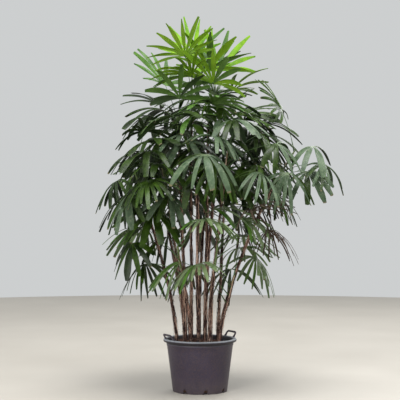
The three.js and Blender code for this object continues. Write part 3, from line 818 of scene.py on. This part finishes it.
def leaflet_rings(frond, slimness):
    """Rings of a frond's leaflets: pleated straps, narrow at the fan's middle and blunt at the tip."""
    random = stream(SEEDS["leaflets"] + 100 * frond["cane"] + int(4 * frond["k"]))
    youth = 1 - smooth(frond["age"] / YOUNG_UNTIL)
    limpness = np.array([LIMPNESS[0] + LIMPNESS[1] * random() for _ in range(frond["count"])])
    lines, alongs, sides = blade_lines(frond, limpness)
    # One more station between the last two gives the blunt end its shape.
    t = np.insert(np.arange(BLADE_STEPS + 1) / BLADE_STEPS, -1, 1 - 0.5 / BLADE_STEPS)
    widen, narrow = mix(WIDENS_UNTIL, youth), mix(NARROWS_FROM, youth)
    apart = math.tan(min(2 * frond["spread"] / frond["count"], 1) / 2)
    fold = mix(LEAFLET_FOLD, smooth(t / 0.7))
    pleat = PLEAT_DEPTH * smooth(t / 0.2) * (0.6 + 0.4 * (1 - t))
    rings = []
    for i in frond["kept"]:
        twist = LEAFLET_TWIST * (random() - 0.5)
        curl = LEAFLET_CURL * random()
        tooth = random()
        slim = slimness * (mix(SLIMNESS, youth) + SLIMNESS_VARIES * random())
        blunt = mix(BLUNTNESS, youth) + BLUNTNESS_VARIES * random()
        shorter = 1 - LENGTH_VARIES * random() ** 2
        line = lines[i, 0] + (lines[i] - lines[i, 0]) * shorter
        line = np.insert(line, -1, (line[-2] + line[-1]) / 2, 0)
        side = np.insert(sides[i], -1, sides[i, -1], 0)
        along = np.insert(alongs[i], -1, alongs[i, -1], 0)
        angle = (twist * smooth((t - 0.2) / 0.8))[:, None]
        normal = np.cross(along, side)
        side, normal = (
            side * np.cos(angle) + normal * np.sin(angle),
            normal * np.cos(angle) - side * np.sin(angle),
        )
        # Near the fan's middle, leaflets are as wide as the room between them, and so fuse.
        fused = 1.02 * t * frond["reach"][i] * apart + 0.003
        tapered = (1 - blunt) * smooth((t - narrow) / (1.02 - narrow)) ** 1.3
        swell = mix(FOOT_TO_MIDDLE, smooth(t / widen)) - tapered
        half = np.minimum(frond["width"][i] * swell * slim / 2, fused)[:, None]
        drop = pleat[:, None] * PLEATS - half * (fold + 0.14 * curl * t)[:, None] * U_HALF ** 2
        end = np.zeros((len(t), LEAFLET_ACROSS))
        ragged = 0.5 * U_HALF ** 2 + 0.5 * (PLEATS < 0) * np.abs(np.sin(9 * tooth + 5 * U_HALF))
        end[-1] = -TOOTH_LENGTH * ragged
        top = (
            line[:, None]
            + side[:, None] * (half * U_HALF)[..., None]
            + normal[:, None] * drop[..., None]
            + along[:, None] * end[..., None]
        )
        under = top - normal[:, None] * LEAFLET_THICKNESS
        rings.append(np.concatenate([top, under[:, ::-1]], 1))
    return rings


def leaflet_kinds(faces, sides):
    """0 for the upper face and 1 for the underside."""
    place = (faces % sides).min(1)
    furthest = (faces % sides).max(1)
    return ((place >= sides // 2) | ((place == 0) & (furthest == sides - 1))).astype(int)


def dry_tipped_kinds(faces, sides):
    """As above, and 2 for the last stretch before the tip."""
    return np.where(faces.min(1) >= BLADE_STEPS * sides, 2, leaflet_kinds(faces, sides))


LEAF_SHADES = {
    # Upper face: dark, light and rib; underside: dark and light.
    "young": {
        "upper": ((0.070, 0.190, 0.003), (0.165, 0.340, 0.004), (0.270, 0.430, 0.012)),
        "under": ((0.120, 0.250, 0.006), (0.210, 0.360, 0.012)),
        "gloss": (0.52, 0.24),
    },
    "fresh": {
        "upper": ((0.026, 0.085, 0.005), (0.062, 0.160, 0.009), (0.115, 0.225, 0.025)),
        "under": ((0.050, 0.115, 0.014), (0.090, 0.175, 0.028)),
        "gloss": (0.42, 0.40),
    },
    "mature_a": {
        "upper": ((0.0050, 0.014, 0.0008), (0.0230, 0.050, 0.0040), (0.074, 0.114, 0.026)),
        "under": ((0.012, 0.026, 0.007), (0.026, 0.048, 0.014)),
    },
    "mature_b": {
        "upper": ((0.0032, 0.0090, 0.0008), (0.0145, 0.033, 0.0036), (0.062, 0.094, 0.034)),
        "under": ((0.011, 0.023, 0.008), (0.022, 0.040, 0.014)),
    },
    "mature_c": {
        "upper": ((0.0100, 0.028, 0.0012), (0.034, 0.076, 0.0044), (0.090, 0.145, 0.026)),
        "under": ((0.018, 0.040, 0.008), (0.036, 0.068, 0.017)),
    },
    # Painted sheen: a paler copy of the mature greens for fronds at the front, standing for the sky's
    # reflection on their hanging leaflets.
    "pale": {
        "upper": ((0.034, 0.064, 0.030), (0.078, 0.122, 0.066), (0.200, 0.240, 0.140)),
        "under": ((0.040, 0.076, 0.032), (0.070, 0.115, 0.052)),
    },
    "low": {
        "upper": ((0.078, 0.122, 0.046), (0.168, 0.232, 0.104), (0.320, 0.385, 0.215)),
        "under": ((0.072, 0.118, 0.046), (0.130, 0.190, 0.082)),
    },
    "dry": {},
}
GLOSSY = (0.30, 0.23)  # roughness and shine, where a shade has none of its own
SHADE_NEXT_TO = {
    "young": "fresh",
    "fresh": "mature_c",
    "mature_a": "mature_b",
    "mature_b": "mature_c",
    "mature_c": "mature_a",
    "pale": "mature_a",
    "low": "fresh",
    "dry": "dry",
}
STRAY_SHADES = 0.2  # share of a frond's leaflets that take the shade next to its own
DRY_TIPS = {"young": 0, "fresh": 0.15}  # share of the leaflets
MOST_DRY_TIPS = 0.28  # in the other shades
DRY_SLIMNESS = 0.45
DRY_TONES = {
    # dark, brown and pale
    "dry_leaf": ((0.019, 0.010, 0.006), (0.058, 0.034, 0.018), (0.145, 0.096, 0.054)),
    "dry_tip": ((0.055, 0.050, 0.020), (0.120, 0.108, 0.048), (0.24, 0.215, 0.115)),
}


def shade_of(frond):
    """Deals a frond its shade by its age, its cane and its place."""
    index, age, (x, y, z) = frond["cane"], frond["age"], frond["hub"]
    random = stream(SEEDS["shades"] + 100 * index + int(2 * frond["k"]))
    luck = random()
    oldest_right = age > 0.85 and index not in SHORT and x > 0.24 and 1.05 < z < 1.45
    front_right = x > 0.32 and y < -0.1 and 1.05 < z < 1.3
    if oldest_right or front_right:
        return "dry"
    if index in TALLEST and age < 0.27:
        return "young"
    if index in SHORT:
        return "low" if luck < 0.7 else "mature_c"
    if age < 0.42:
        return "fresh" if luck < 0.45 else "mature_c"
    # Fronds at the front of the crown take the pale shade, a painted sheen.
    if y < -0.15 and 1.15 < z < 2.0 and luck < 0.55:
        return "pale"
    return ("mature_a", "mature_b", "mature_c")[int(3 * random())]


def all_frond_nodes():
    return sorted(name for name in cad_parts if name.startswith("fronds_"))


def cane_nodes():
    return sorted(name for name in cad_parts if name.startswith("cane_"))


def make_leaves(fronds):
    dealt = {name: ([], []) for name in LEAF_SHADES}
    for number, frond in enumerate(fronds):
        random = stream(SEEDS["colours"] + number)
        shade = shade_of(frond)
        if frond["cane"] in SHORT or random() < LEAFLETS_HALVED:
            frond = halved(frond)
        for leaflet in leaflet_rings(frond, DRY_SLIMNESS if shade == "dry" else 1):
            name = SHADE_NEXT_TO[shade] if random() < STRAY_SHADES else shade
            dealt[name][random() < DRY_TIPS.get(name, MOST_DRY_TIPS)].append(leaflet)
    dry, dry_tip = (dry_finish(name, *tones) for name, tones in DRY_TONES.items())
    across = np.concatenate([np.linspace(0, 1, LEAFLET_ACROSS), np.linspace(1, 0, LEAFLET_ACROSS)])
    for name, shade in LEAF_SHADES.items():
        skin = Skin()
        for leaflets, kinds in zip(dealt[name], (leaflet_kinds, dry_tipped_kinds)):
            if leaflets:
                skin.loft(np.array(leaflets), across, kinds)
        finishes = [dry, dry, dry_tip]
        if shade:
            finishes[0] = leaf_finish(f"leaf_{name}", *shade["upper"], *shade.get("gloss", GLOSSY))
            finishes[1] = underside_finish(f"underside_{name}", *shade["under"])
        slot = "young_leaf" if name == "young" else "leaf"
        skin.make(f"leaflets_{name}", finishes, slot, all_frond_nodes(), sharp=50)


STALK_SIDES = 6
STALK_RADIUS = 0.0022
SHEATH_SWELL = 0.0024
STALK_TAPER = 0.0004
STALK_PAST_HUB = 0.012
KNUCKLE_AHEAD = 0.003
KNUCKLE_SIDES = 10
KNUCKLE = ((0.003, -0.0022), (0.007, -0.0010), (0.007, 0.0008), (0.003, 0.0018))  # radius and height


def make_stalks(fronds):
    """Leaf stalks, each swelling into the sheath that clasps the cane, and the fans' middles."""
    skin = Skin()
    angle = turns(KNUCKLE_SIDES)[:, None]
    for frond in fronds:
        stalk, ahead = frond["stalk"], frond["ahead"]
        line = np.concatenate([stalk, [stalk[-1] + ahead * STALK_PAST_HUB]])
        share = np.arange(len(line)) / (len(line) - 1)
        radii = STALK_RADIUS + SHEATH_SWELL * (1 - smooth(share / 0.3)) - STALK_TAPER * share
        skin.loft(tube(line, radii, STALK_SIDES)[None])
        # The middle of the fan is a small flat knuckle.
        middle = frond["hub"] + ahead * KNUCKLE_AHEAD
        rim = np.cos(angle) * ahead + np.sin(angle) * frond["side"]
        rings = [middle + rim * radius + frond["normal"] * height for radius, height in KNUCKLE]
        skin.loft(np.array(rings)[None, :, ::-1])
    finish = stalk_finish("leaf_stalk", (0.030, 0.080, 0.020), (0.090, 0.165, 0.045))
    skin.make("leaf_stalks", [finish], "leaf", all_frond_nodes())


# ---- canes

CANE_SIDES = 18
SHEATH_LENGTH = (0.026, 0.042)
LEAFY_SHEATHS = 1.25  # times that length, where the fronds grow
SHEATH_SLANT = 0.006
SHEATH_FLARE = (0.16, 0.38)  # share of the cane's radius
SHEATH_RAGGED = 0.22
SHEATH_STATIONS = ((0, 0), (0.45, 0.35), (0.93, 1))  # share of its length, and of its flare


def cane_rings(index):
    """A cane in its fibrous sheaths: each sheath swells to a ragged, slanting upper edge."""
    cane = CANES[index]
    random = stream(SEEDS["sheaths"] + index)
    length = cane["tip"][2] - SOIL_LEVEL
    angle = turns(CANE_SIDES)
    shares, swells, slants = [], [], []
    height = -0.006
    while height < length - 0.004:
        leafy = height > length * (1 - cane["leafy"])
        pitch = mix(SHEATH_LENGTH, random()) * (LEAFY_SHEATHS if leafy else 1)
        lean_to, lean_by = 2 * math.pi * random(), SHEATH_SLANT * random()
        ragged = SHEATH_RAGGED * np.array([random() - 0.5 for _ in range(CANE_SIDES)])
        flare = mix(SHEATH_FLARE, random())
        for share, swell in SHEATH_STATIONS:
            shares.append((height + share * pitch) / length)
            swells.append(-0.10 + swell * (flare + ragged))
            slants.append(lean_by * np.cos(angle - lean_to) / length)
        height += pitch
    shares, swells, slants = np.array(shares), np.array(swells), np.array(slants)
    inside = shares < 1
    at = np.clip(shares[inside, None] + slants[inside], -0.004, 1)
    centre = cane_point(index, np.clip(at, 0, 1))
    centre[..., 2] = SOIL_LEVEL + length * at
    near_foot = np.clip(1 - at * length / CANE_FLARE_HEIGHT, 0, 1)
    radius = cane_radius(np.clip(at, 0, 1)) * (1 + swells[inside]) * (1 + (CANE_FLARE - 1) * near_foot ** 2)
    return centre + radius[..., None] * spoke(angle)


CANE_TONES = {
    # dark, tan, share of pale patches
    "cane_dark": ((0.030, 0.008, 0.007), (0.115, 0.037, 0.028), 0.05),
    "cane_red": ((0.058, 0.015, 0.012), (0.205, 0.070, 0.052), 0.14),
    "cane_tan": ((0.105, 0.036, 0.027), (0.37, 0.165, 0.124), 0.24),
}


def make_canes():
    barks = [cane_finish(name, *tone) for name, tone in CANE_TONES.items()]
    for index in range(len(CANES)):
        skin = Skin()
        skin.loft(cane_rings(index)[None])
        number = f"{index + 1:02d}"
        stretch = [name for name in all_frond_nodes() if name.startswith(f"fronds_{number}")]
        bark = barks[(2 * index + index // 3) % len(barks)]
        nodes = [f"cane_{number}", *stretch]
        skin.make(f"sheathed_cane_{number}", [bark], "cane_fibre", nodes, sharp=55)


STRANDS_PER_METRE = 185
STRAND_SHADES = {
    "dark": ((0.014, 0.005, 0.004), (0.072, 0.025, 0.018)),
    "pale": ((0.36, 0.190, 0.135), (0.74, 0.52, 0.40)),
}


STRAND_POINTS = 6
STRAND_THICKNESS = 0.0005
STRIP_SHARE = 0.4
PALE_SHARE = 0.40
DOWNWARD_SHARE = 0.62
STRAND_SIZES = {
    # least, most, and how much the least is favoured
    "strip": {"reach": (0.05, 0.21, 1), "peel": (0.05, 0.60, 2), "half_width": (0.0012, 0.0042, 1)},
    "fibre": {"reach": (0.03, 0.16, 2), "peel": (0.10, 1.00, 3), "half_width": (0.0005, 0.0014, 1)},
}


def drawn(random, least, most, power):
    return least + (most - least) * random() ** power


def make_strands():
    """Torn strips of sheath that lie along the canes, and loose fibres that hang off them."""
    skins = {"dark": Skin(), "pale": Skin()}
    t = np.arange(STRAND_POINTS) / (STRAND_POINTS - 1)
    taper = 1 - 0.75 * t ** 2
    for index, cane in enumerate(CANES):
        random = stream(SEEDS["strands"] + index)
        length = cane["tip"][2] - SOIL_LEVEL
        for _ in range(int(STRANDS_PER_METRE * length)):
            sizes = STRAND_SIZES["strip" if random() < STRIP_SHARE else "fibre"]
            share = random() ** 1.15 * (1 - 0.35 * cane["leafy"])
            reach = drawn(random, *sizes["reach"])
            turn, drift = 2 * math.pi * random(), 0.9 * (random() - 0.5)
            down = -1 if random() < DOWNWARD_SHARE else 1
            peel = drawn(random, *sizes["peel"])
            half_width = drawn(random, *sizes["half_width"])
            kind = "pale" if random() < PALE_SHARE else "dark"
            at = np.clip(share + down * t * reach / length, 0.002, 0.998)
            out = spoke(turn + drift * t)
            lift = 1.16 * cane_radius(at) + 0.0008 + peel * 0.028 * t ** 2
            line = cane_point(index, at) + out * lift[:, None]
            line[:, 2] -= peel * 0.015 * t ** 2
            if line[:, 2].min() < SOIL_LEVEL:
                continue
            across = unit(np.cross(np.gradient(line, axis=0), out))
            wide = across * (half_width * taper)[:, None]
            thick = out * (STRAND_THICKNESS * taper)[:, None]
            rings = np.stack([line + wide, line + thick, line - wide, line - thick], 1)
            skins[kind].loft((rings if down < 0 else rings[:, ::-1])[None])
    for name, shades in STRAND_SHADES.items():
        finish = strand_finish(f"strand_{name}", *shades)
        skins[name].make(f"loose_fibres_{name}", [finish], "cane_fibre", cane_nodes())


# ---- pot and soil


def wall_radius(z):
    return POT_FOOT_RADIUS + (POT_NECK_RADIUS - POT_FOOT_RADIUS) * z / (POT_HEIGHT - RIM_DEPTH)


def arc(centre, radius, start, end, steps):
    """Points of an arc in the (radius, height) plane, angles in degrees."""
    angles = np.radians(np.linspace(start, end, steps))
    return [(centre[0] + radius * math.cos(a), centre[1] + radius * math.sin(a)) for a in angles]


def lathe_rings(profile, sides):
    """Rings round the upright axis through a profile's radii and heights."""
    radii, heights = np.array(profile).T[:, :, None, None]
    return radii * spoke(turns(sides)) + heights * np.array([0, 0, 1])


POT_MIDDLE = 0.0005  # radius at the axis, where the skin closes
POT_SIDES = 160
POT_FLOOR = 0.012
POT_EDGE = 0.004  # the round edge at the foot
FOOT_RING = ((0.150, 0.006), (0.158, 0.0))  # the raised middle of the underside ends here
BAND = (0.316, 0.324)  # the low band under the rim
BAND_DEPTH = 0.0022
WALL_HEIGHTS = (0.012, 0.04, 0.08, 0.12, 0.16, 0.20, 0.24, 0.28, 0.312)


def pot_profile():
    """Radii and heights from the underside's middle, up the outside, over the rim and down the inside."""
    under_rim = POT_HEIGHT - RIM_DEPTH
    roll = RIM_DEPTH / 2
    foot = [(POT_MIDDLE, FOOT_RING[0][1]), *FOOT_RING, (POT_FOOT_RADIUS - 0.005, 0.0)]
    foot += arc((POT_FOOT_RADIUS - POT_EDGE, POT_EDGE), POT_EDGE, -90, 0, 5)[1:]
    wall = [(wall_radius(z), z) for z in WALL_HEIGHTS]
    wall += [(wall_radius(z) + BAND_DEPTH, z) for z in BAND]
    wall += [(wall_radius(0.328), 0.328), (wall_radius(under_rim) + 0.001, under_rim)]
    rim = [(RIM_RADIUS - roll * 0.75, under_rim)]
    rim += arc((RIM_RADIUS - roll * 0.62, under_rim + roll * 0.62), roll * 0.62, -90, 0, 5)
    rim += arc((RIM_RADIUS - roll * 0.9, POT_HEIGHT - roll * 0.9), roll * 0.9, 0, 90, 8)
    rim += [(RIM_INNER_RADIUS + 0.008, POT_HEIGHT - 0.0012)]
    rim += arc((RIM_INNER_RADIUS + 0.005, POT_HEIGHT - 0.0065), 0.005, 100, 180, 5)
    inside = [(wall_radius(under_rim) - POT_WALL, under_rim - 0.006)]
    inside += [(wall_radius(z) - POT_WALL, z) for z in (0.2, POT_FLOOR)]
    return foot + wall + rim + inside + [(POT_MIDDLE, POT_FLOOR)]


def make_pot():
    """The container: thin wall, rolled rim, a band under it, and drain notches round the foot."""
    skin = Skin()
    skin.loft(lathe_rings(pot_profile(), POT_SIDES)[None])
    cut_notches(skin.make("nursery_pot", [pot_finish()], "pot_plastic", ["pot"], sharp=38))


NOTCHES_WIDER = 1.12  # than the solids' plain ones
NOTCHES_HIGHER = 1.4


def cut_notches(pot):
    """Arched drain openings at the foot, cut through wall and floor."""
    skin = Skin()
    half, height = NOTCH_WIDTH / 2 * NOTCHES_WIDER, NOTCH_HEIGHT * NOTCHES_HIGHER
    arch = [(half, -0.01), (half, height * 0.45)]
    for a in np.radians([22, 45, 68, 90]):
        arch.append((half * math.cos(a), height * (0.45 + 0.55 * math.sin(a))))
    arch += [(-x, z) for x, z in reversed(arch[:-1])]
    arch += [(-half * 0.33, -0.01), (half * 0.33, -0.01), (half * 0.66, -0.01)]
    nearest = POT_FOOT_RADIUS - NOTCH_INSET
    for i in range(NOTCH_COUNT):
        turn = math.radians(NOTCH_TURN + 360 * i / NOTCH_COUNT)
        out = np.array([math.cos(turn), math.sin(turn), 0])
        across = np.array([-math.sin(turn), math.cos(turn), 0])
        rings = []
        for distance in (nearest, nearest + NOTCH_DEPTH):
            rings.append([out * distance + across * x + np.array([0, 0, z]) for x, z in arch])
        skin.loft(np.array(rings)[None])
    cutter = skin.make("notch_cutter", [], "pot_plastic", [])
    cut = pot.modifiers.new("notches", "BOOLEAN")
    cut.object = cutter
    cut.solver = "EXACT"
    bpy.context.view_layer.objects.active = pot
    bpy.ops.object.modifier_apply(modifier="notches")
    bpy.data.objects.remove(cutter)


HANDLE_BEND = 0.016
HANDLE_FOOT_HEIGHT = 0.012
HANDLE_FOOT_SWELL = 0.35


def make_handles():
    """Loop handles of squarish bar, leaning out from the rim on wide feet.

    They are bare plastic, the solids' own material, without the pot's streaks and dust.
    """
    plastic = bpy.data.materials["pot_plastic"]
    half = HANDLE_WIDTH / 2 - HANDLE_BAR / 2
    top = HANDLE_HEIGHT - HANDLE_BAR / 2
    path = [(-half, -0.002), (-half, 0.004), (-half, 0.014)]
    path += arc((-half + HANDLE_BEND, top - HANDLE_BEND), HANDLE_BEND, 180, 90, 7)
    path += [(-half * 0.4, top)]
    path = np.array([*path, (0, top + 0.0004), *[(-y, z) for y, z in reversed(path)]])
    along = unit(np.gradient(path, axis=0))
    section = turns(16)
    squareness = (np.abs(np.cos(section)) ** 4 + np.abs(np.sin(section)) ** 4) ** -0.25
    swell = (1 + HANDLE_FOOT_SWELL * smooth(1 - path[:, 1] / HANDLE_FOOT_HEIGHT))[:, None]
    across = np.cos(section) * squareness * HANDLE_BAR / 2 * swell
    deep = np.sin(section) * squareness * HANDLE_THICKNESS / 2 * swell
    y = path[:, None, 0] - along[:, None, 1] * across
    z = path[:, None, 1] + along[:, None, 0] * across
    lean = math.radians(HANDLE_LEAN)
    out = HANDLE_DISTANCE + deep * math.cos(lean) + z * math.sin(lean)
    up = POT_HEIGHT + GAP + z * math.cos(lean) - deep * math.sin(lean)
    up = np.maximum(up, POT_HEIGHT - 0.003)
    for name, turn in HANDLE_TURNS.items():
        c, s = math.cos(math.radians(turn)), math.sin(math.radians(turn))
        skin = Skin()
        skin.loft(np.stack([out * c - y * s, out * s + y * c, up], -1)[None])
        skin.make(f"loop_{name}", [plastic], "pot_plastic", [name], sharp=60)


SOIL_SIDES = 200
SOIL_RINGS = 60
SOIL_MIDDLE = 0.0006
SOIL_FLOOR = 0.0125
SOIL_CLEARANCE = 0.0008  # to the pot's wall
SOIL_SUNK = 0.008  # below the solids' plain top, on average
SOIL_BUMP = 0.0022
SOIL_WAVE_COUNT = 26
HEAP = 0.006  # of mix round each cane, and what it sinks at the wall
HEAP_RADIUS = 0.028


def soil_waves():
    """Waves of the soil's top: how close, which way and how far along."""
    random = stream(SEEDS["soil"])
    waves = []
    for _ in range(SOIL_WAVE_COUNT):
        waves.append((30 + 160 * random(), 2 * math.pi * random(), 2 * math.pi * random()))
    return waves


SOIL_WAVES = soil_waves()


def ground(x, y):
    """The height of the potting mix's top, apart from its heaps round the canes."""
    bumps = sum(np.sin(f * (x * math.cos(d) + y * math.sin(d)) + p) * 20 / f for f, d, p in SOIL_WAVES)
    return SOIL_LEVEL - SOIL_SUNK + SOIL_BUMP * bumps


def make_soil():
    """Potting mix: a bumpy top that rises round the canes, in the pot's inner shape."""
    outermost, low = (wall_radius(z) - POT_WALL - SOIL_CLEARANCE for z in (SOIL_LEVEL, SOIL_FLOOR))
    radii = np.concatenate([[SOIL_MIDDLE], np.linspace(0.006, outermost, SOIL_RINGS)])[:, None]
    angle = turns(SOIL_SIDES)
    x, y = radii * np.cos(angle), radii * np.sin(angle)
    height = ground(x, y)
    for cane in CANES:
        away = np.hypot(x - cane["foot"][0], y - cane["foot"][1])
        height += HEAP * np.exp(-(away / HEAP_RADIUS) ** 2)
    height -= HEAP * smooth((radii - 0.19) / 0.03)
    height = np.minimum(height, SOIL_LEVEL + 0.004)
    height[0] = height[0].mean()
    top = np.stack([x, y, height], -1)
    below = lathe_rings([(SOIL_MIDDLE, SOIL_FLOOR), (low, SOIL_FLOOR)], SOIL_SIDES)
    skin = Skin()
    skin.loft(np.concatenate([below, top[::-1]])[None])
    skin.make("potting_mix", [soil_finish()], "potting_mix", ["soil"])


CHIP_COUNT = 420
CHIP_STATIONS = ((-1, 0.35), (-0.7, 0.9), (0.1, 1), (0.75, 0.8), (1, 0.3))  # place and width
CHIP_SECTION = np.array([(1, 0.5), (0.6, 1), (-0.6, 1), (-1, 0.5), (-0.8, -0.8), (0.8, -0.8)])
CHIP_FLATNESS = 0.22
ROOTLET_COUNT = 900
ROOTLET_STEPS = 6
LITTER_REACH = 0.212


def strewn(random, within):
    radius, turn = within * math.sqrt(random()), 2 * math.pi * random()
    return np.array([radius * math.cos(turn), radius * math.sin(turn), 0])


def chip_rings(random):
    """A bark chip: an uneven six-sided splinter, tilted a little."""
    centre = strewn(random, 0.205)
    centre[2] = ground(centre[0], centre[1]) + 0.001 + 0.003 * random()
    size = 0.004 + 0.010 * random() ** 2
    heading = 2 * math.pi * random()
    tilt = 0.7 * (random() - 0.5)
    ahead = spoke(np.array(heading)) * math.cos(tilt) + np.array([0, 0, math.sin(tilt)])
    side = unit(np.cross([0, 0, 1], ahead))
    up = np.cross(ahead, side)
    slim = 0.35 + 0.4 * random()
    rings = []
    for place, scale in CHIP_STATIONS:
        jag = 1 + 0.4 * (random() - 0.5)
        across, high = (CHIP_SECTION * size * scale).T[..., None]
        rings.append(centre + ahead * place * size + side * across * slim * jag + up * high * CHIP_FLATNESS)
    return np.array(rings)


def rootlet_rings(random):
    """A dead root that wanders over the mix and arches up off it, or None where it would reach the wall."""
    start = strewn(random, 0.200)
    heading, bend = 2 * math.pi * random(), 3 * (random() - 0.5)
    length = 0.02 + 0.06 * random()
    hump = 0.002 + 0.030 * random() ** 2
    thickness = 0.0006 + 0.0013 * random()
    t = np.arange(ROOTLET_STEPS + 1) / ROOTLET_STEPS
    steps = spoke(heading + bend * t[:-1]) * length / ROOTLET_STEPS
    points = start + np.concatenate([np.zeros((1, 3)), np.cumsum(steps, 0)])
    if np.hypot(points[:, 0], points[:, 1]).max() > LITTER_REACH:
        return None
    points[:, 2] = ground(points[:, 0], points[:, 1]) + 0.0012 + hump * np.sin(math.pi * t)
    return tube(points, thickness * (1 - 0.5 * t), 4)


def make_litter():
    """Bark chips and dead rootlets on the soil."""
    random = stream(SEEDS["litter"])
    chips, rootlets = Skin(), Skin()
    for _ in range(CHIP_COUNT):
        chips.loft(chip_rings(random)[None])
    for _ in range(ROOTLET_COUNT):
        rings = rootlet_rings(random)
        if rings is not None:
            rootlets.loft(rings[None])
    chips.make("bark_chips", [chip_finish()], "potting_mix", ["soil"], sharp=30)
    finish = strand_finish("rootlet", (0.11, 0.045, 0.028), (0.34, 0.17, 0.11))
    rootlets.make("rootlets", [finish], "potting_mix", ["soil"])


# ---- stage

CAMERA_DISTANCE = 8.0
CAMERA_HEIGHT = 1.277
VIEW_WIDTH = 2.74  # metres across the frame at the pot
SENSOR = 36
HORIZON_BELOW_MIDDLE = 4 / 400  # share of the frame


FLOOR_RADIUS = 8.4
SKY_COLOUR = (0.82, 0.84, 0.845, 1)
SKY_STRENGTH = 0.74
LAMPS = (
    # name, place, what it faces, width and watts
    ("overhead", (0.8, -2.0, 8.0), (0, 0, 1.3), 5.0, 740),
    ("front", (-3.2, -6.5, 3.8), (0, 0, 1.0), 1.6, 235),
    ("back", (2.5, 5.0, 5.0), (0, 0, 1.5), 3.5, 150),
)


def make_stage():
    bpy.ops.mesh.primitive_circle_add(vertices=256, radius=FLOOR_RADIUS, fill_type="NGON")
    floor = bpy.context.object
    floor.name = "floor"
    floor.data.materials.append(floor_finish())

    world = bpy.data.worlds.new("pale")
    world.use_nodes = True
    sky = world.node_tree.nodes["Background"].inputs
    sky["Color"].default_value = SKY_COLOUR
    sky["Strength"].default_value = SKY_STRENGTH
    bpy.context.scene.world = world

    for name, place, faced, width, watts in LAMPS:
        data = bpy.data.lights.new(name, "AREA")
        data.shape = "DISK"
        data.size = width
        data.energy = watts
        lamp = link(name, data)
        lamp.location = place
        lamp.rotation_mode = "QUATERNION"
        lamp.rotation_quaternion = (Vector(faced) - Vector(place)).to_track_quat("-Z", "Y")

    view = bpy.data.cameras.new("camera")
    view.sensor_width = SENSOR
    view.lens = SENSOR * CAMERA_DISTANCE / VIEW_WIDTH
    camera = link("camera", view)
    rise = math.atan(HORIZON_BELOW_MIDDLE * VIEW_WIDTH / CAMERA_DISTANCE)
    camera.location = (0, -CAMERA_DISTANCE, CAMERA_HEIGHT)
    camera.rotation_euler = (math.pi / 2 + rise, 0, 0)
    bpy.context.scene.camera = camera
    bpy.context.scene.view_settings.view_transform = "Standard"


# ---- the whole

make_stage()
fronds = grow_fronds()
make_leaves(fronds)
make_stalks(fronds)
make_canes()
make_strands()
make_pot()
make_handles()
make_soil()
make_litter()
